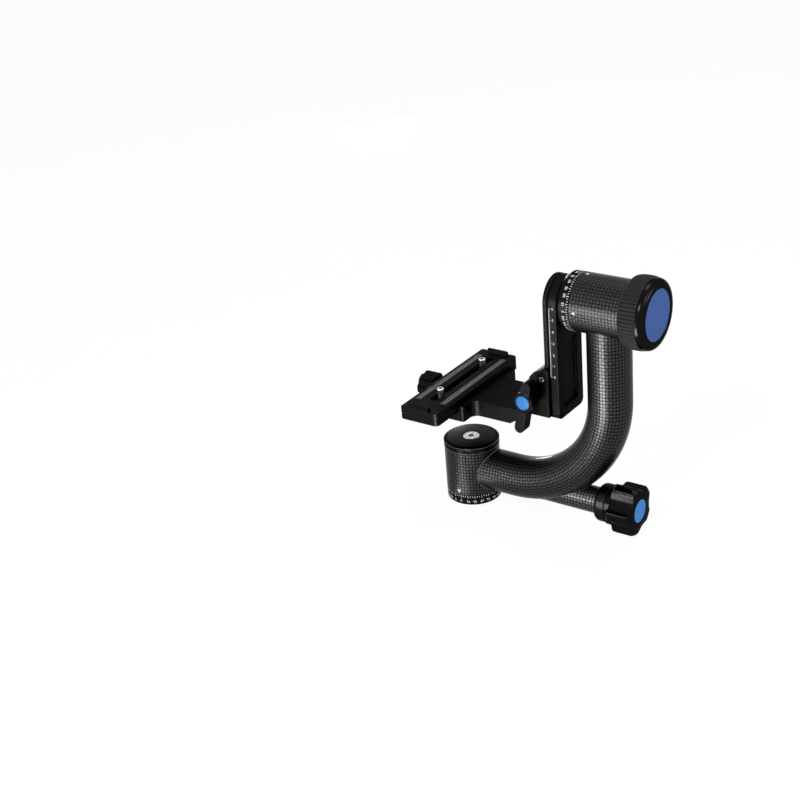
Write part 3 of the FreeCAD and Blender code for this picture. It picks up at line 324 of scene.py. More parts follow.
@dataclass(frozen=True)
class LidMetal:
    """The column's lid: a dull flat top inside a darker, smoother shoulder; the top's lighter
    colour is a painted reflection of the bright sky above it.
    """

    name: str = "lid_metal"
    # painted reflection: the flat top's lighter colour stands in for the sky it reflects
    flat: Colour = (0.026, 0.026, 0.0265)
    shoulder: Colour = (0.009, 0.009, 0.0092)
    flat_radius: float = 21.3 * MM
    flat_height: float = 56.0 * MM
    shoulder_roughness: float = 0.24
    flat_roughness: float = 0.38
    cloud: float = 90.0

    def build(self) -> bpy.types.Material:
        """Makes the material.

        Returns:
            The material.
        """
        graph = Graph.named(self.name)
        x, y, z = graph.place()
        far = (x * x + y * y).of("SQRT")
        # the flat top, where the painted reflection is blended in
        top = (far < self.flat_radius) * (z > self.flat_height)
        mottle = 0.85 + 0.3 * graph.noise(self.cloud)
        duller = self.flat_roughness - self.shoulder_roughness
        return graph.finish(
            Base_Color=graph.blend(top * mottle, self.shoulder, self.flat),
            Metallic=1.0,
            Roughness=self.shoulder_roughness + top * duller,
            Specular_Tint=DARK_TINT,
        )


class Lay(Enum):
    """How a carbon sleeve's cloth runs round its part."""

    COLUMN = "round the pan axis"
    HUB = "round the tilt axis"
    BOSS = "round the pan lock"
    ARM = "along the bent tube"


@dataclass(frozen=True)
class Carbon:
    """Clear-coated carbon cloth in a plain weave of flat tows."""

    lay: Lay
    gap: Colour = (0.002, 0.002, 0.0021)
    tow: Colour = (0.038, 0.0383, 0.0393)
    tow_width: float = 2.7 * MM
    tow_run: float = 2.9 * MM
    tow_edge: float = 0.12
    tow_rise: float = 2.2
    dive_shade: float = 0.5
    roughness: float = 0.46
    crown_polish: float = 0.08
    crown_depth: float = 0.1 * MM
    cloud: float = 30.0

    def _frame(self, graph: Graph) -> tuple[Wire, Wire]:
        """The cloth's own two directions.

        Args:
            graph: The material's tree.

        Returns:
            Tows counted round the part and along it.
        """
        x, y, z = graph.place()
        column, arm, lock, hub = PanColumn(), Arm(), PanLock(), TiltHub()
        if self.lay is Lay.COLUMN:
            return y.of("ARCTAN2", x) * self._count(column.radius), z / self.tow_run
        if self.lay is not Lay.ARM:
            height, radius = ((hub.height, hub.radius) if self.lay is Lay.HUB
                              else (lock.height, lock.sleeve_radius))
            return (z - height).of("ARCTAN2", y) * self._count(radius), x / self.tow_run
        beside, above = x - arm.bend_x, z - arm.bend_z
        far = (beside * beside + above * above).of("SQRT")
        level, upright = x < arm.bend_x, z > arm.bend_z
        bent = (1.0 - level) * (1.0 - upright)
        below = 0.0 - above
        out = (level * below + upright * beside + bent * far) - arm.bend_radius
        run = level * beside + upright * (above + arm.bend_radius * math.pi / 2.0)
        run = run + bent * beside.of("ARCTAN2", below) * arm.bend_radius
        return out.of("ARCTAN2", y) * self._count(arm.radius), run / self.tow_run

    def _count(self, radius: float) -> float:
        """Tows in a radian, for an even number that closes the cloth round a radius."""
        return 2 * round(math.pi * radius / self.tow_width) / TURN

    def build(self) -> bpy.types.Material:
        """Makes the material.

        Returns:
            The material.
        """
        graph = Graph.named("carbon_weave_" + self.lay.name.lower())
        across, along = self._frame(graph)
        left, low = across % 1.0 - 0.5, along % 1.0 - 0.5
        near_left, near_low = left * left * 4.0, low * low * 4.0
        crown = (1.0 - near_left) * (1.0 - near_low)
        warp = ((across.of("FLOOR") + along.of("FLOOR")) % 2.0) > 0.5
        dive = warp * near_low + (1.0 - warp) * near_left
        tow = ((crown - self.tow_edge) * self.tow_rise).of("MAXIMUM", 0.0).of("MINIMUM", 1.0)
        mottle = 0.7 + 0.6 * graph.noise(self.cloud)
        # painted sheen and shade: warp-over cells are painted lighter than weft-over cells,
        # standing in for the tows' sheen, and dive_shade paints shade where a tow dives under its
        # neighbour
        mask = tow * (1.0 - self.dive_shade * dive) * (0.85 + 0.3 * warp) * mottle
        return graph.finish(
            Base_Color=graph.blend(mask, self.gap, self.tow),
            Metallic=1.0,
            Roughness=self.roughness - self.crown_polish * crown,
            Specular_Tint=DARK_TINT,
            Coat_Weight=0.5,
            Coat_IOR=1.2,
            Coat_Roughness=0.2,
            Normal=graph.bump(crown, self.crown_depth, 0.5),
        )


@dataclass(frozen=True)
class RibbedStrip:
    """Rubber strip with fine ribs across its length, painted darker in the grooves between them as
    painted shade.
    """

    name: str = "grey_rubber"
    # painted shade: the grooves' darker colour
    groove: Colour = (0.0225, 0.0225, 0.023)
    colour: Colour = (0.045, 0.045, 0.046)
    pitch: float = 1.1 * MM
    rib_depth: float = 0.2 * MM
    roughness: float = 0.72

    def build(self) -> bpy.types.Material:
        """Makes the material.

        Returns:
            The material.
        """
        graph = Graph.named(self.name)
        _, y, _ = graph.place()
        rib = (y * (TURN / self.pitch)).of("SINE") * 0.5 + 0.5
        return graph.finish(
            # painted shade: darker towards the bottom of each groove
            Base_Color=graph.blend(rib, self.groove, self.colour),
            Roughness=self.roughness - 0.1 * rib,
            Normal=graph.bump(rib, self.rib_depth, 0.8),
        )


class Palette:
    """The finishes of the record's material slots, each made once when first asked for."""

    PLAIN = {finish.name: finish for finish in (
        SatinMetal("satin_black_metal", (0.0065, 0.0065, 0.0068), (0.0095, 0.0095, 0.01), 0.36),
        SatinMetal("black_composite", (0.007, 0.007, 0.0072), (0.01, 0.01, 0.0103), 0.17),
        # painted highlight: a lighter copy of the satin black for the boss collar, brightening its
        # highlight; the lower roughness is a real glossier finish
        SatinMetal("collar_metal", (0.011, 0.011, 0.0112), (0.016, 0.016, 0.0163), 0.28),
        LidMetal(),
        BareMetal("bright_steel", (0.528, 0.528, 0.544), (0.66, 0.66, 0.68), 0.26),
        BareMetal("bearing_steel", (0.576, 0.576, 0.592), (0.72, 0.72, 0.74), 0.12),
        BareMetal("bronze", (0.44, 0.288, 0.144), (0.55, 0.36, 0.18), 0.3),
        Moulded("black_rubber", (0.013, 0.013, 0.0135), (0.01625, 0.01625, 0.016875), 0.6,
                2200.0, 0.05 * MM),
        Moulded("deep_blue_metal", (0.018, 0.093, 0.36), (0.0225, 0.11625, 0.45), 0.32, 3000.0),
        Moulded("light_blue_cap", (0.035, 0.25, 0.7), (0.04375, 0.3125, 0.875), 0.4, 2500.0),
        # painted highlight: pale grey so the beads show as bright lines
        Moulded("resin_bead", (0.1, 0.1, 0.102), (0.125, 0.125, 0.1275), 0.3, 900.0,
                specular=0.3),
        Moulded("scale_ink", (0.774, 0.774, 0.774), (0.9, 0.9, 0.9), 0.55, spread=0.0,
                strength=0.0, cloud=900.0, specular=0.5),
        RibbedStrip(),
    )}
    WOVEN = {
        "column_sleeve": Carbon(Lay.COLUMN),
        # painted shade: the hub's weave is a darker, flatter copy of the same carbon, toning down
        # the lit hub
        "hub_sleeve": Carbon(Lay.HUB, (0.0055, 0.0055, 0.0057), (0.033, 0.0333, 0.0342)),
        # painted highlight: the boss's weave is a lighter copy of the same carbon, brightening its
        # lit band
        "pan_boss": Carbon(Lay.BOSS, tow=(0.072, 0.0725, 0.074)),
        "arm_tube": Carbon(Lay.ARM),
    }
    OWN = {"boss_collar": "collar_metal"}

    def __init__(self) -> None:
        """Starts with nothing made."""
        self._made: dict[str, bpy.types.Material] = {}

    def plain(self, slot: str) -> bpy.types.Material:
        """The finish of a slot.

        Args:
            slot: A material slot's name.

        Returns:
            Its material, made once.
        """
        if slot not in self._made:
            self._made[slot] = self.PLAIN[slot].build()
        return self._made[slot]

    def for_node(self, node: str, slot: str) -> bpy.types.Material:
        """The finish of one node.

        Args:
            node: The node's name.
            slot: Its material slot in the record.

        Returns:
            The slot's finish, or a weave laid round this very part.
        """
        if node in self.WOVEN:
            return self.WOVEN[node].build()
        return self.plain(self.OWN.get(node, slot))


PALETTE = Palette()


# ---- dressing CAD nodes and adding pieces


def dress(nodes: Iterable[str]) -> None:
    """Gives CAD nodes their finishes.

    Args:
        nodes: Node names.
    """
    slots = {part["node"]: part["material_slot"] for part in frame["record"]["subparts"]}
    for name in nodes:
        materials = frame["nodes"][name].data.materials
        materials.clear()
        materials.append(PALETTE.for_node(name, slots[name]))


def soften(width: float, steps: int, *names: str) -> None:
    """Breaks the sharp edges of CAD nodes with a small bevel.

    Args:
        width: Bevel width in metres.
        steps: Segments across it.
        names: Node names.
    """
    for name in names:
        modifiers = frame["nodes"][name].modifiers
        modifiers.new("weld", "WELD").merge_threshold = 0.002 * MM
        flat = modifiers.new("flat", "DECIMATE")
        flat.decimate_type = "DISSOLVE"
        flat.angle_limit = math.radians(0.3)
        bevel = modifiers.new("edge", "BEVEL")
        bevel.width, bevel.segments = width, steps
        bevel.limit_method = "ANGLE"
        bevel.angle_limit = math.radians(35.0)
        bevel.harden_normals = True
        bevel.use_clamp_overlap = True
        modifiers.new("normals", "WEIGHTED_NORMAL").keep_sharp = True


def add_piece(name: str, mesh: bpy.types.Mesh, body: str, slot: str) -> bpy.types.Object:
    """Adds a piece of the object that rides on a CAD body.

    Args:
        name: The piece's name.
        mesh: Its mesh, in the model's frame.
        body: The body that carries it.
        slot: Its finish.

    Returns:
        The new object.
    """
    mesh.name = name
    piece = bpy.data.objects.new(name, mesh)
    bpy.context.scene.collection.objects.link(piece)
    mesh.materials.append(PALETTE.plain(slot))
    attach(piece, body)
    log.info("piece %s on %s", name, body)
    return piece


def closed_mesh(bm: bmesh.types.BMesh) -> bpy.types.Mesh:
    """Turns a finished bmesh of closed shells into a mesh.

    Args:
        bm: The bmesh, which is freed.

    Returns:
        The mesh, with its normals outward.
    """
    bmesh.ops.recalc_face_normals(bm, faces=bm.faces)
    made = bpy.data.meshes.new("mesh")
    bm.to_mesh(made)
    bm.free()
    return made


# ---- turned pieces and beads


class Axis(Enum):
    """The axis that a turned piece is turned about."""

    X = "along the tilt axis"
    Z = "along the pan axis"


def skin(bm: bmesh.types.BMesh, rings: list[list[bmesh.types.BMVert]]) -> None:
    """Joins rings of points with smooth faces, the last ring to the first.

    Args:
        bm: The mesh that holds the points.
        rings: The rings, each with as many points.
    """
    for index, ring in enumerate(rings):
        after = rings[(index + 1) % len(rings)]
        for place in range(len(ring)):
            low = (place + 1) % len(ring)
            bm.faces.new((ring[place], after[place], after[low], ring[low])).smooth = True


@dataclass(frozen=True)
class Turned:
    """A closed outline turned about an axis, with an optional cut that varies round it."""

    outline: tuple[Spot, ...]
    axis: Axis = Axis.Z
    height: float = 0.0
    cut: Callable[[float, float, float], float] | None = None
    sides: int = 192
    sharp: float = 32.0

    def mesh(self) -> bpy.types.Mesh:
        """Turns the outline.

        Returns:
            A closed mesh with round faces smooth and real edges sharp.
        """
        bm = bmesh.new()
        rings = []
        for index in range(self.sides):
            angle = TURN * index / self.sides
            ring = []
            for along, radius in self.outline:
                if self.cut:
                    radius = self.cut(angle, along, radius)
                side, up = radius * math.cos(angle), radius * math.sin(angle)
                spot = (side, up, along) if self.axis is Axis.Z else (along, side, up)
                ring.append(bm.verts.new(Vector(spot) * MM + Vector((0.0, 0.0, self.height))))
            rings.append(ring)
        skin(bm, rings)
        bmesh.ops.remove_doubles(bm, verts=bm.verts, dist=0.001 * MM)
        bmesh.ops.recalc_face_normals(bm, faces=bm.faces)
        for edge in bm.edges:
            edge.smooth = edge.calc_face_angle(0.0) < math.radians(self.sharp)
        return closed_mesh(bm)


def rounded(start: Spot, corner: Spot, end: Spot, steps: int = 8) -> tuple[Spot, ...]:
    """Points along a soft corner.

    Args:
        start: Where the corner begins.
        corner: The sharp corner.
        end: Where it ends.
        steps: Pieces it is split into.

    Returns:
        The points, both ends included.
    """
    found = []
    for index in range(steps + 1):
        t = index / steps
        weights = ((1.0 - t) ** 2, 2.0 * t * (1.0 - t), t * t)
        found.append(tuple(sum(weight * point[axis] for weight, point
                               in zip(weights, (start, corner, end))) for axis in range(2)))
    return tuple(found)


def bead(bm: bmesh.types.BMesh, path: list[Vector], radius: float, sides: int = 8) -> None:
    """Adds a round bead along a closed path.

    Args:
        bm: Mesh that it is added to.
        path: Points in order; the last joins the first.
        radius: The bead's radius.
        sides: Faces round it.
    """
    middle = sum(path, Vector()) / len(path)
    rings = []
    for index, point in enumerate(path):
        along = (path[(index + 1) % len(path)] - path[index - 1]).normalized()
        out = (point - middle).cross(along).normalized()
        side = along.cross(out)
        rings.append([bm.verts.new(point + radius * (math.cos(turn) * out + math.sin(turn) * side))
                      for turn in (TURN * step / sides for step in range(sides))])
    skin(bm, rings)


# ---- printed marks and painted shade


class Side(Enum):
    """A way to face, as unit directions: first, second and outward."""

    TOP = ((1.0, 0.0, 0.0), (0.0, 1.0, 0.0), (0.0, 0.0, 1.0))
    FRONT = ((1.0, 0.0, 0.0), (0.0, 0.0, 1.0), (0.0, -1.0, 0.0))
    LEFT = ((0.0, -1.0, 0.0), (0.0, 0.0, 1.0), (-1.0, 0.0, 0.0))


@dataclass
class Marks:
    """Printed marks, and dark marks painted as the shade in sockets and notches: thin closed
    shapes laid just proud of a surface that faces a side.

    On a flat one, across and up are the side's first and second directions. On a cylinder, which
    has a radius, up runs along the side's axis and across turns about it, from first to second.
    """

    side: Side
    origin: Point
    radius: float | None = None
    proud: float = 0.03 * MM
    sunk: float = 0.03 * MM
    bm: bmesh.types.BMesh = field(default_factory=bmesh.new)

    def spot(self, across: float, up: float) -> tuple[Vector, Vector]:
        """One place on the surface.

        Args:
            across: Distance across from the origin.
            up: Distance up from the origin.

        Returns:
            The point and the normal there.
        """
        first, second, axis = (Vector(part) for part in self.side.value)
        if self.radius is None:
            return Vector(self.origin) + first * across + second * up, axis
        turn = across / self.radius
        out = first * math.cos(turn) + second * math.sin(turn)
        return Vector(self.origin) + axis * up + out * self.radius, out

    def polygon(self, outline: Iterable[Spot]) -> None:
        """Adds one closed slab over a convex outline.

        Args:
            outline: Its corners as (across, up).
        """
        top, low = [], []
        for across, up in outline:
            point, normal = self.spot(across, up)
            top.append(self.bm.verts.new(point + normal * self.proud))
            low.append(self.bm.verts.new(point - normal * self.sunk))
        self.bm.faces.new(top)
        self.bm.faces.new(list(reversed(low)))
        for index in range(len(top)):
            after = (index + 1) % len(top)
            self.bm.faces.new((top[index], low[index], low[after], top[after]))

    def bar(self, across: float, up: float, width: float, height: float) -> None:
        """Adds an upright bar.

        Args:
            across: Middle of the bar.
            up: Middle of the bar.
            width: Its width.
            height: Its height.
        """
        w, h = width / 2.0, height / 2.0
        self.polygon([(across - w, up - h), (across + w, up - h),
                      (across + w, up + h), (across - w, up + h)])

    def hexagon(self, across: float, up: float, radius: float) -> None:
        """Adds a hexagon, such as a dark one painted as the shade in a screw's socket.

        Args:
            across: Its middle.
            up: Its middle.
            radius: Distance from its middle to a corner.
        """
        self.polygon([(across + radius * math.cos(turn * math.pi / 3.0),
                       up + radius * math.sin(turn * math.pi / 3.0)) for turn in range(6)])

    def digits(self, text: str, across: float, up: float, height: float) -> None:
        """Adds a plain number.

        Args:
            text: The number.
            across: Middle of the number.
            up: Middle of the number.
            height: Height of its figures.
        """
        curve = bpy.data.curves.new("figures", "FONT")
        curve.body = text
        curve.size = height / FONT_RISE
        curve.align_x, curve.align_y = "CENTER", "CENTER"
        curve.resolution_u = 2
        curve.offset = height * FONT_BOLD
        stand_in = bpy.data.objects.new("figures", curve)
        flat = bpy.data.meshes.new_from_object(stand_in)
        figures = bmesh.new()
        figures.from_mesh(flat)
        bmesh.ops.remove_doubles(figures, verts=figures.verts, dist=1e-7)
        raised = bmesh.ops.extrude_face_region(figures, geom=list(figures.faces))
        tops = {item for item in raised["geom"] if isinstance(item, bmesh.types.BMVert)}
        middle = sum((v.co for v in figures.verts), Vector()) / len(figures.verts)
        for vert in figures.verts:
            local = vert.co - middle
            point, normal = self.spot(across + local.x, up + local.y)
            vert.co = point + normal * (self.proud if vert in tops else -self.sunk)
        merged = closed_mesh(figures)
        self.bm.from_mesh(merged)
        bpy.data.meshes.remove(merged)
        bpy.data.meshes.remove(flat)
        bpy.data.objects.remove(stand_in)
        bpy.data.curves.remove(curve)

    def degrees(self, start: float, step: float, base: float, ticks: Spot, numbers: float,
                first: int) -> None:
        """Adds a degree scale all round, with a number at every third tick.

        Args:
            start: Across at the first tick.
            step: Across between two ticks.
            base: Up where the ticks stand.
            ticks: Length of the numbered ticks and of the others; below zero they hang.
            numbers: Up at the middle of the numbers.
            first: The number at the first tick.
        """
        for index in range(360 // TICK_DEGREES):
            across, length = start + index * step, ticks[1 if index % 3 else 0]
            self.bar(across, base + length / 2.0, TICK_WIDTH, abs(length))
            if index % 3 == 0:
                number = str((index * TICK_DEGREES + first) % 360)
                self.digits(number, across, numbers, FIGURE_HEIGHT)

    def add(self, name: str, body: str, slot: str = "scale_ink") -> None:
        """Adds the marks as one piece that rides on a body."""
        add_piece(name, closed_mesh(self.bm), body, slot)


# ---- sub-assemblies


@dataclass
class PanColumn:
    """The foot with its degree band, the woven column and its lid."""

    radius: float = 24.2 * MM
    band_radius: float = 24.0 * MM
    band_top: float = 8.9 * MM
    band_ticks: Spot = (-2.5 * MM, -1.5 * MM)
    band_numbers: float = 3.3 * MM
    band_phase: float = 3.7
    band_first: int = 105
    pointer_half: float = 2.0 * MM
    pointer_span: Spot = (10.9 * MM, 14.5 * MM)
    sleeve_top: float = 51.35
    lid_rim: float = 24.4
    lid_top: float = 56.6
    spigot: Spot = (19.0, 21.9)
    screw_bore: float = 4.0
    screw_seat: float = 55.1
    screw_radius: float = 7.1
    screw_face: float = 56.85
    socket: float = 2.5
    socket_floor: float = 53.9
    notches: int = 8
    notch_turn: float = 0.22
    notch_width: float = 0.16
    notch_span: Spot = (4.55 * MM, 6.05 * MM)
    nodes: tuple[str, ...] = (
        "base_flange", "mount_bush", "base_screws", "pan_spindle", "pan_inner_races",
        "pan_outer_races", "pan_balls", "pan_spacer", "spindle_washer", "spindle_nut",
        "column_liner", "column_sleeve", "column_cap", "cap_screw")

    def build(self) -> None:
        """Dresses the nodes, then adds the lid, its screw and the scale."""
        dress(self.nodes)
        soften(0.25 * MM, 2, "base_flange")
        self._lid()
        self._screw()
        self._scale()

    def _lid(self) -> None:
        """Adds the lid: a soft shoulder, a straight skirt and a groove above the sleeve."""
        low, rim, top, (inner, outer) = self.sleeve_top, self.lid_rim, self.lid_top, self.spigot
        cap = add_piece("column_lid", Turned((
            (low, self.screw_bore), (low, inner), (low - 2.8, inner), (low - 2.8, outer),
            (low, outer), (low, rim - 0.2), (low - 0.45, rim - 0.2), (low - 0.45, rim - 0.1),
            (low - 0.35, rim), *rounded((top - 2.4, rim), (top, rim), (top, rim - 3.0)),
            (top + 0.1, rim - 3.3), (top + 0.1, self.screw_radius + 0.1),
            (self.screw_seat, self.screw_radius + 0.1), (self.screw_seat, self.screw_bore),
        )).mesh(), "arm", "lid_metal")
        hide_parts("column_cap")

    def _hexagon(self, angle: float, _along: float, radius: float) -> float:
        """Opens the round socket in the screw to a hexagon.

        Args:
            angle: Direction round the screw.
            radius: The outline's radius, which is the half width inside the socket.

        Returns:
            Distance to the hexagon's side, and outside the socket the radius itself.
        """
        if radius > self.socket + 0.2:
            return radius
        return radius / math.cos((angle + math.pi / 6.0) % (math.pi / 3.0) - math.pi / 6.0)

    def _screw(self) -> None:
        """Adds the bright screw in the middle of the lid, with dark marks painted as the shade in
        its spanner notches.
        """
        low, radius, face, floor = (self.sleeve_top + 0.05, self.screw_radius, self.screw_face,
                                    self.socket_floor)
        screw = add_piece("lid_screw", Turned((
            (low, 0.0), (low, self.screw_bore), (self.screw_seat, self.screw_bore),
            (self.screw_seat, radius), (face - 0.25, radius), (face, radius - 0.25),
            (face, self.socket + 0.2), (face - 0.25, self.socket), (floor, self.socket),
            (floor - 0.2, 0.0)), cut=self._hexagon).mesh(), "arm", "bright_steel")
        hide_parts("cap_screw")
        # painted shade: flat dark marks stand in for the shaded hollows of the spanner notches
        marks = Marks(Side.TOP, (0.0, 0.0, face * MM), proud=0.02 * MM)
        near, far = self.notch_span
        for index in range(self.notches):
            start = TURN * index / self.notches + self.notch_turn
            end = start + self.notch_width
            marks.polygon([(reach * math.cos(turn), reach * math.sin(turn)) for turn, reach
                           in ((start, near), (end, near), (end, far), (start, far))])
        marks.add("lid_screw_notches", "arm", "black_composite")

    def _scale(self) -> None:
        """Adds the degree scale, and on the sleeve its pointer with the tip down."""
        marks = Marks(Side.TOP, (0.0, 0.0, 0.0), self.band_radius)
        start, step = (math.radians(part) * self.band_radius
                       for part in (self.band_phase, TICK_DEGREES))
        marks.degrees(start, step, self.band_top, self.band_ticks, self.band_numbers,
                      self.band_first)
        marks.add("pan_scale", "base")
        marks = Marks(Side.TOP, (0.0, 0.0, 0.0), self.radius, proud=0.14 * MM)
        middle, half, (tip, base) = -TURN / 4.0 * self.radius, self.pointer_half, self.pointer_span
        marks.polygon([(middle - half, base), (middle, tip), (middle + half, base)])
        marks.add("pan_index", "arm")


@dataclass
class Arm:
    """The woven tube that leaves the column, bends, and comes up under the hub."""

    radius: float = 18.35 * MM
    bend_x: float = 45.5 * MM
    bend_z: float = 122.0 * MM
    bend_radius: float = 93.1 * MM
    bead_points: int = 160
    lid_bead: float = 50.6 * MM
    # the lid-shoulder bead is only a painted highlight line, this far above the seam bead and
    # scaled out onto the lid's rounded shoulder
    groove_rise: float = 4.45 * MM
    groove_share: float = 24.3 / 24.2
    bead_radii: tuple[float, ...] = (0.28 * MM, 0.22 * MM, 0.4 * MM, 0.4 * MM)
    nodes: tuple[str, ...] = ("arm_tube",)

    def build(self) -> None:
        """Dresses the tube and lays beads at the lid, the column and the boss: resin fillets at
        the seams, pale grey as a painted highlight, and on the lid's shoulder a bead that is only
        a painted highlight line.
        """
        dress(self.nodes)
        column, lock = PanColumn(), PanLock()
        skirt, root, boss = [], [], []
        for index in range(self.bead_points):
            angle = TURN * index / self.bead_points
            side, up = math.cos(angle), math.sin(angle)
            skirt.append(Vector((column.radius * side, column.radius * up, self.lid_bead)))
            y = self.radius * side
            root.append(Vector((math.sqrt(column.radius ** 2 - y * y), y,
                                self.bend_z - self.bend_radius + self.radius * up)))
            y, z = lock.sleeve_radius * side, lock.height + lock.sleeve_radius * up
            far = self.bend_radius + math.sqrt(self.radius ** 2 - y * y)
            drop = self.bend_z - z
            boss.append(Vector((self.bend_x + math.sqrt(far * far - drop * drop), y, z)))
        rise = Vector((0.0, 0.0, self.groove_rise))
        # painted highlight: the bead on the lid's rounded shoulder
        groove = [point * self.groove_share + rise for point in skirt]
        bm = bmesh.new()
        for path, radius in zip((skirt, groove, root, boss), self.bead_radii):
            bead(bm, path, radius)
        add_piece("resin_beads", closed_mesh(bm), "arm", "resin_bead")


@dataclass
class PanLock:
    """The star knob at the elbow, with its woven sleeve, collar, rod and brake shoe."""

    sleeve_radius: float = 11.4 * MM
    height: float = 24.6 * MM
    knob_start: float = 138.7
    knob_face: float = 163.8
    knob_radius: float = 22.2
    knob_bore: float = 3.0
    neck_radius: float = 17.4
    neck_end: float = 143.4
    chamfer: float = 1.2
    soft: float = 3.6
    land: float = 11.2
    pocket: float = 10.0
    flutes: int = 5
    flute_radius: float = 16.5
    flute_depth: float = 5.4
    flute_turn: float = 2.0
    crest: float = 0.8
    nodes: tuple[str, ...] = ("pan_boss", "boss_liner", "boss_collar", "pan_knob",
                              "pan_knob_cap", "pan_lock_rod", "pan_brake_shoe")

    def build(self) -> None:
        """Dresses the nodes and adds the knob: a blank with wide flutes and a rimmed face."""
        dress(self.nodes)
        soften(0.3 * MM, 2, "boss_collar", "pan_knob_cap")
        start, face, hub, bore = self.knob_start, self.knob_face, self.neck_end, self.knob_bore
        neck, edge, soft = self.neck_radius, self.knob_radius, self.soft
        grip = add_piece("star_grip", Turned((
            (start, bore), (start, neck - 0.5), (start + 0.5, neck), (hub, neck),
            (hub, edge - self.chamfer), (hub + self.chamfer, edge),
            *rounded((face - soft, edge), (face, edge), (face, edge - soft)),
            (face + 0.1, edge - 5.0), (face + 0.4, self.land), (face + 0.4, self.pocket),
            (face - 1.1, self.pocket), (face - 1.1, bore),
        ), Axis.X, self.height, self._flute, 360).mesh(), "pan_knob", "black_composite")
        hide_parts("pan_knob")

    def _flute(self, angle: float, along: float, radius: float) -> float:
        """The knob's radius where a finger flute cuts it.

        Args:
            angle: Direction round the knob.
            along: Place along the axis; the neck behind the flutes stays round.
            radius: Radius without the flutes.

        Returns:
            The smaller of the two, with the crest between them softened.
        """
        step = TURN / self.flutes
        turn = (angle + math.radians(self.flute_turn) + step / 2.0) % step - step / 2.0
        centre = self.knob_radius - self.flute_depth + self.flute_radius
        reach = self.flute_radius ** 2 - (centre * math.sin(turn)) ** 2
        if reach <= 0.0 or (along <= self.neck_end and radius <= self.neck_radius):
            return radius
        cut = centre * math.cos(turn) - math.sqrt(reach)
        share = max(self.crest - abs(radius - cut), 0.0) / self.crest
        return min(radius, cut) - share * share * self.crest / 4.0


@dataclass
class TiltHub:
    """The hub, its bearings, the tilt scale and the big rubber-gripped lock knob."""

    radius: float = 24.3 * MM
    height: float = 204.07 * MM
    start: float = 116.0 * MM
    scale_base: float = 115.1 * MM
    scale_ticks: Spot = (2.0 * MM, 1.3 * MM)
    scale_numbers: float = 4.1 * MM
    pointer_half: float = 1.5 * MM
    pointer_span: Spot = (-2.4 * MM, -5.6 * MM)
    pointer_angles: Spot = (0.0, 90.0)
    ribs: int = 60
    rib_depth: float = 0.75
    rib_fades: tuple[Spot, Spot] = ((160.4, 1.6), (175.9, 1.0))
    grip_bore: float = 25.9
    barrel: tuple[Spot, ...] = (
        (160.2, 27.6), (160.5, 28.2), (161.2, 28.7), (162.2, 29.1), (164.0, 29.5),
        (167.0, 29.85), (170.0, 29.9), (173.0, 29.75), (174.9, 29.5), (175.6, 29.35),
        (175.9, 29.1))
    face: float = 181.6
    face_back: float = 175.95
    face_shoulder: float = 177.0
    face_land: float = 23.6
    face_edge: float = 29.0
    face_opening: float = 21.0
    face_bore: float = 4.0
    disc_pocket: Spot = (180.0, 21.8)
    nodes: tuple[str, ...] = (
        "hub_sleeve", "hub_liner", "tilt_outer_races", "friction_washer", "tilt_dial",
        "tilt_spindle", "tilt_inner_races", "tilt_balls", "tilt_spacer", "tilt_knob_core",
        "tilt_grip_ring", "tilt_knob_bezel", "tilt_knob_disc", "tilt_draw_screw")

    def build(self) -> None:
        """Dresses the nodes, then adds the knob's grip and face and the scale."""
        dress(self.nodes)
        soften(0.2 * MM, 2, "tilt_knob_disc", "tilt_knob_core", "friction_washer", "tilt_dial")
        self._grip()
        self._face_ring()
        self._scale()

    def _rib(self, angle: float, along: float, radius: float) -> float:
        """The rubber's radius between its ribs.

        Args:
            angle: Direction round the knob.
            along: Place along the axis, which fades the ribs towards both ends.
            radius: Radius on a rib.

        Returns:
            The radius with the groove taken off.
        """
        wave = 0.5 + 0.5 * math.cos(angle * self.ribs)
        (first, rise), (last, fall) = self.rib_fades
        fade = min(1.0, max(0.0, (along - first) / rise), max(0.0, (last - along) / fall))
        return radius - self.rib_depth * fade * wave ** 2

    def _grip(self) -> None:
        """Adds the ribbed rubber: a slightly barrelled ring."""
        (start, _), (end, _) = self.barrel[0], self.barrel[-1]
        rubber = add_piece("tilt_rubber", Turned(
            ((start, self.grip_bore), *self.barrel, (end, self.grip_bore)),
            Axis.X, self.height, self._rib, 960, 50.0).mesh(), "tilt_knob", "black_rubber")
        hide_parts("tilt_grip_ring")

    def _face_ring(self) -> None:
        """Adds the knob's smooth front, which wraps round the edge to the blue disc."""
        back, face, edge, opening = self.face_back, self.face, self.face_edge, self.face_opening
        seat, pocket = self.disc_pocket
        shell = add_piece("tilt_face_ring", Turned((
            (back, self.grip_bore), (back, edge - 0.3), (back + 0.25, edge),
            *rounded((self.face_shoulder, edge), (face, edge - 0.2), (face, self.face_land), 12),
            (face, opening + 0.2), (face - 0.2, opening), (face - 0.4, opening),
            (face - 0.4, pocket), (seat, pocket), (seat, self.face_bore),
            (seat - 1.0, self.face_bore), (seat - 1.0, self.grip_bore),
        ), Axis.X, self.height).mesh(), "tilt_knob", "black_composite")
        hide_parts("tilt_knob_bezel")

    def _scale(self) -> None:
        """Adds the dial's degree scale, and the pointers on the hub with their tips to it."""
        marks = Marks(Side.LEFT, (self.scale_base, 0.0, self.height), self.radius)
        marks.degrees(0.0, math.radians(TICK_DEGREES) * self.radius, 0.0, self.scale_ticks,
                      self.scale_numbers, 0)
        marks.add("tilt_scale", "cradle")
        marks = Marks(Side.LEFT, (self.start, 0.0, self.height), self.radius, proud=0.1 * MM)
        half, (tip, base) = self.pointer_half, self.pointer_span
        for degrees in self.pointer_angles:
            middle = math.radians(degrees) * self.radius
            marks.polygon([(middle - half, base), (middle + half, base), (middle, tip)])
        marks.add("tilt_index", "arm")


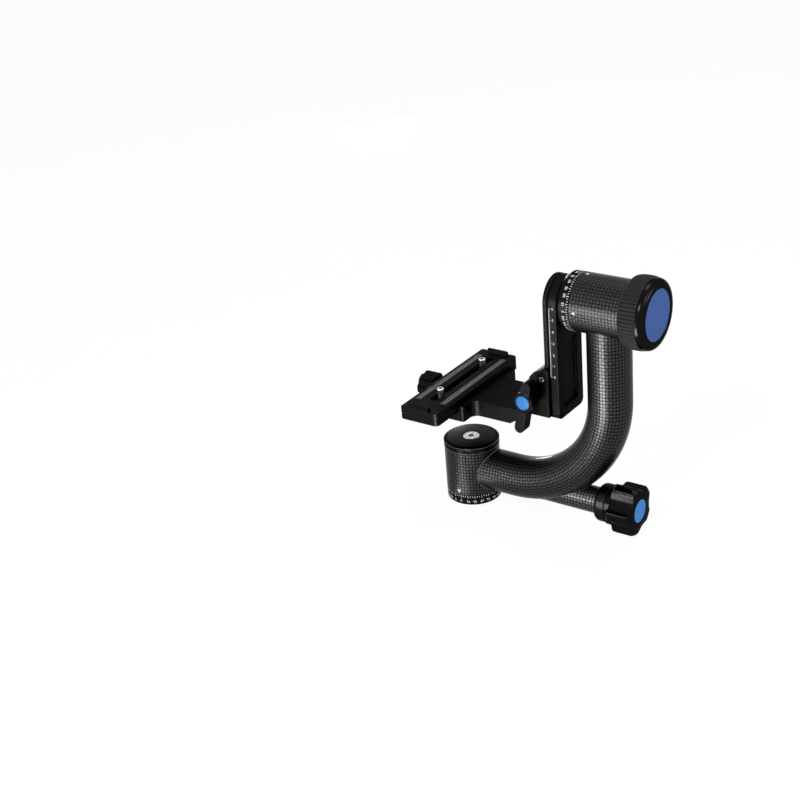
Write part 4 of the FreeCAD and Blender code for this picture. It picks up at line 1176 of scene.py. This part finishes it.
@dataclass
class SwingPlate:
    """The dovetail rail that hangs from the hub, with its screws and height ruler."""

    edge: float = -20.0 * MM
    front: float = 90.0 * MM
    screw_circle: float = 12.5 * MM
    socket: float = 1.7 * MM
    line_x: float = 95.75 * MM
    line_width: float = 0.4 * MM
    zero: float = 142.2 * MM
    length: float = 60.0 * MM
    tick_step: float = 2.0 * MM
    ticks: Spot = (1.8 * MM, 1.1 * MM)
    tick_width: float = 0.3 * MM
    number_shift: float = 3.3 * MM
    number_height: float = 2.4 * MM
    nodes: tuple[str, ...] = ("swing_plate", "spindle_screws", "rail_stop_screw")

    def build(self) -> None:
        """Dresses the nodes, then adds the ruler and dark hexagons painted on the screws as the
        shade in their sockets.
        """
        dress(self.nodes)
        soften(0.3 * MM, 2, "swing_plate")
        self._ruler()
        # painted shade: dark hexagons stand in for the shaded hollows of the screws' sockets
        marks = Marks(Side.LEFT, (self.front, 0.0, TiltHub().height))
        reach = self.screw_circle / math.sqrt(2.0)
        for side in (reach, -reach):
            for rise in (-reach, reach):
                marks.hexagon(side, rise, self.socket)
        marks.add("rail_screw_sockets", "cradle", "black_composite")

    def _ruler(self) -> None:
        """Adds a line with short ticks and a number at every fifth one."""
        marks = Marks(Side.FRONT, (0.0, self.edge, 0.0))
        marks.bar(self.line_x, self.zero + self.length / 2.0, self.line_width, self.length)
        count = round(self.length / self.tick_step)
        for index in range(count + 1):
            length = self.ticks[1 if index % 5 else 0]
            marks.bar(self.line_x + length / 2.0, self.zero + index * self.tick_step, length,
                      self.tick_width)
        for index in range(count // 5 + 1):
            marks.digits(str(index), self.line_x + self.number_shift,
                         self.zero + index * 5 * self.tick_step, self.number_height)
        marks.add("height_ruler", "cradle")


@dataclass
class Platform:
    """The arm under the lens, its bracket on the rail, the jaw and the wing knob."""

    wing: Point = (82.4 * MM, -44.0 * MM, 126.2 * MM)
    jaw_screw: Point = (88.7 * MM, -24.0 * MM, 139.7 * MM)
    socket: float = 1.0 * MM
    disc_back: float = -0.8
    disc_radius: float = 6.0
    ring_radius: float = 7.8
    nodes: tuple[str, ...] = ("platform", "rail_jaw", "jaw_screw", "jaw_guide_pins",
                              "wing_knob", "wing_knob_cap", "wing_stud")

    def build(self) -> None:
        """Dresses the nodes, then adds the wing knob's disc and a dark hexagon painted on the
        screw as the shade in its socket.
        """
        dress(self.nodes)
        soften(0.5 * MM, 3, "platform", "rail_jaw")
        soften(0.8 * MM, 3, "wing_knob")
        soften(0.2 * MM, 2, "jaw_screw")
        self._cap()
        # painted shade: a dark hexagon stands in for the shaded hollow of the screw's socket
        marks = Marks(Side.FRONT, self.jaw_screw)
        marks.hexagon(0.0, 0.0, self.socket)
        marks.add("jaw_screw_socket", "rail_jaw", "black_composite")

    def _cap(self) -> None:
        """Adds the wing knob's small domed disc and the ring that holds it."""
        edge, rim, back = self.disc_radius, self.ring_radius, self.disc_back
        disc = Turned(((back, 0.0), (back, edge), (0.25, edge), (0.5, edge - 0.4),
                       (0.6, edge / 2.0), (0.6, 0.0)), sides=96).mesh()
        ring = Turned(((back, edge + 0.05), (back, rim), (0.0, rim), (0.25, rim - 0.3),
                       (0.25, edge + 0.3), (0.0, edge + 0.05)), sides=96).mesh()
        turn = Matrix.Translation(self.wing) @ Matrix.Rotation(math.radians(90.0), 4, "X")
        disc.transform(turn)
        ring.transform(turn)
        disc = add_piece("wing_disc", disc, "wing_knob", "light_blue_cap")
        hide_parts("wing_knob_cap")
        add_piece("wing_disc_ring", ring, "wing_knob", "satin_black_metal")


@dataclass
class QuickRelease:
    """The clamp's sliding jaw and knob, and the long lens plate."""

    screw_top: float = 118.5 * MM
    screws: tuple[Spot, ...] = ((-2.95 * MM, -37.0 * MM), (-2.95 * MM, 28.4 * MM))
    socket: float = 1.6 * MM
    nodes: tuple[str, ...] = ("clamp_jaw", "clamp_guide_pins", "clamp_knob", "clamp_knob_cap",
                              "clamp_stud", "lens_plate", "plate_pads", "plate_stop_screws",
                              "lens_screws")

    def build(self) -> None:
        """Dresses the nodes, then adds dark hexagons painted on the lens screws as the shade in
        their sockets.
        """
        dress(self.nodes)
        soften(0.4 * MM, 3, "clamp_jaw", "lens_plate")
        soften(0.5 * MM, 3, "clamp_knob")
        soften(0.2 * MM, 2, "plate_stop_screws", "lens_screws", "clamp_knob_cap")
        # painted shade: dark hexagons stand in for the shaded hollows of the screws' sockets
        marks = Marks(Side.TOP, (0.0, 0.0, self.screw_top))
        for x, y in self.screws:
            marks.hexagon(x, y, self.socket)
        marks.add("lens_screw_sockets", "plate", "black_composite")


# ---- studio and camera


@dataclass(frozen=True)
class Lamp:
    """A soft rectangular lamp that looks at a point."""

    name: str
    place: Point
    target: Point
    size: Spot
    power: float
    spin: float = 0.0
    gloss_only: bool = False

    def build(self) -> None:
        """Adds the lamp."""
        data = bpy.data.lights.new(self.name, "AREA")
        data.shape = "RECTANGLE"
        data.size, data.size_y = self.size
        data.energy = self.power
        lamp = bpy.data.objects.new(self.name, data)
        lamp.location = self.place
        away = Vector(self.target) - Vector(self.place)
        lamp.rotation_mode = "QUATERNION"
        spun = Quaternion((0.0, 0.0, 1.0), math.radians(self.spin))
        lamp.rotation_quaternion = away.to_track_quat("-Z", "Y") @ spun
        lamp.visible_camera = False
        lamp.visible_diffuse = not self.gloss_only
        bpy.context.scene.collection.objects.link(lamp)


@dataclass
class Studio:
    """A pale floor, a white sky, soft lamps and the camera."""

    floor_colour: Colour = (0.82, 0.82, 0.82)
    floor_dull: Colour = (0.8036, 0.8036, 0.8036)
    floor_reach: float = 9.0
    floor_white: float = 1.05
    floor_glow: float = 0.9
    sky_light: float = 0.2
    lamps: tuple[Lamp, ...] = (
        Lamp("key", (0.15, -1.25, 1.15), (0.05, 0.0, 0.11), (0.4, 0.4), 14.0),
        Lamp("tall_strip", (-0.11, -0.49, 0.12), (0.138, 0.0, 0.14), (0.08, 0.24), 1.5,
             gloss_only=True),
        Lamp("low_strip", (0.08, -0.32, 0.004), (0.08, -0.32, 1.0), (0.12, 0.26), 3.4, 17.0,
             gloss_only=True),
        Lamp("near_strip", (-0.02, -0.1, 0.004), (-0.02, -0.1, 1.0), (0.03, 0.14), 0.06, 17.0,
             gloss_only=True),
        Lamp("rear_strip", (-0.8, 0.95, 0.13), (0.05, 0.0, 0.13), (0.14, 0.24), 2.5,
             gloss_only=True),
        Lamp("right_strip", (1.1, 0.75, 0.13), (0.05, 0.0, 0.13), (0.14, 0.24), 2.5,
             gloss_only=True),
        Lamp("side", (1.6, 0.1, 0.9), (0.05, 0.0, 0.1), (0.5, 0.5), 7.0),
        Lamp("top", (0.1, 0.5, 1.7), (0.05, 0.0, 0.1), (0.9, 0.5), 9.0),
    )
    eye: Point = (0.67717455, -0.98297533, 0.68048015)
    right: Point = (0.81444906, 0.57490198, -0.07848849)
    up: Point = (-0.19668457, 0.4008011, 0.8948037)
    back: Point = (0.54588269, -0.71333455, 0.43950643)
    lens: float = 68.992

    def build(self) -> None:
        """Adds everything."""
        self._floor()
        self._world()
        for lamp in self.lamps:
            lamp.build()
        self._camera()
        bpy.context.scene.view_settings.view_transform = "Standard"

    def _floor(self) -> None:
        """A wide flat floor under the foot."""
        mesh = bpy.data.meshes.new("floor")
        far = self.floor_reach
        corners = [(-far, -far, 0.0), (far, -far, 0.0), (far, far, 0.0), (-far, far, 0.0)]
        mesh.from_pydata(corners, [], [(0, 1, 2, 3)])
        graph = Graph.named("floor")
        colour = graph.blend(graph.noise(3.0), self.floor_dull, self.floor_colour)
        matt = graph.make("ShaderNodeBsdfPrincipled", None, {
            "Base Color": colour, "Roughness": 0.9, "Specular IOR Level": 0.1})
        white = graph.make("ShaderNodeEmission", None,
                           {"Color": WHITE, "Strength": self.floor_white})
        graph.close(graph.make("ShaderNodeMixShader", None, {
            0: self._seen(graph) * self.floor_glow, 1: matt, 2: white}))
        mesh.materials.append(graph.material)
        floor = bpy.data.objects.new("floor", mesh)
        bpy.context.scene.collection.objects.link(floor)

    @staticmethod
    def _seen(graph: Graph) -> Wire:
        """Tells rays that come from the camera, a reflection or a window from the others.

        Args:
            graph: The tree that asks.

        Returns:
            One for such rays, else zero.
        """
        rays = [graph.make("ShaderNodeLightPath", output="Is %s Ray" % kind)
                for kind in ("Camera", "Glossy", "Transmission")]
        return rays[0].of("MAXIMUM", rays[1]).of("MAXIMUM", rays[2])

    def _world(self) -> None:
        """Soft even light from all round, under a white sky."""
        world = bpy.data.worlds.new("studio")
        world.use_nodes = True
        graph = Graph(world.node_tree)
        light = graph.make("ShaderNodeBackground", None, {"Strength": self.sky_light})
        white = graph.make("ShaderNodeBackground", None, {"Color": WHITE})
        sky = graph.make("ShaderNodeMixShader", None, {0: self._seen(graph), 1: light, 2: white})
        graph.close(sky, "ShaderNodeOutputWorld")
        bpy.context.scene.world = world

    def _camera(self) -> None:
        """The camera, in front of the head, to its right and above it."""
        data = bpy.data.cameras.new("camera")
        data.lens = self.lens
        data.clip_start, data.clip_end = 0.01, 60.0
        camera = bpy.data.objects.new("camera", data)
        turn = Matrix((self.right, self.up, self.back)).transposed().to_4x4()
        camera.matrix_world = Matrix.Translation(self.eye) @ turn
        bpy.context.scene.collection.objects.link(camera)
        bpy.context.scene.camera = camera


def main() -> None:
    """Builds the head's looks in order, then the studio."""
    logging.basicConfig(level=logging.INFO, format="%(name)s: %(message)s")
    for part in (PanColumn(), Arm(), PanLock(), TiltHub(), SwingPlate(), Platform(),
                 QuickRelease()):
        part.build()
        log.info("built %s", type(part).__name__)
    Studio().build()


if __name__ == "__main__":
    main()
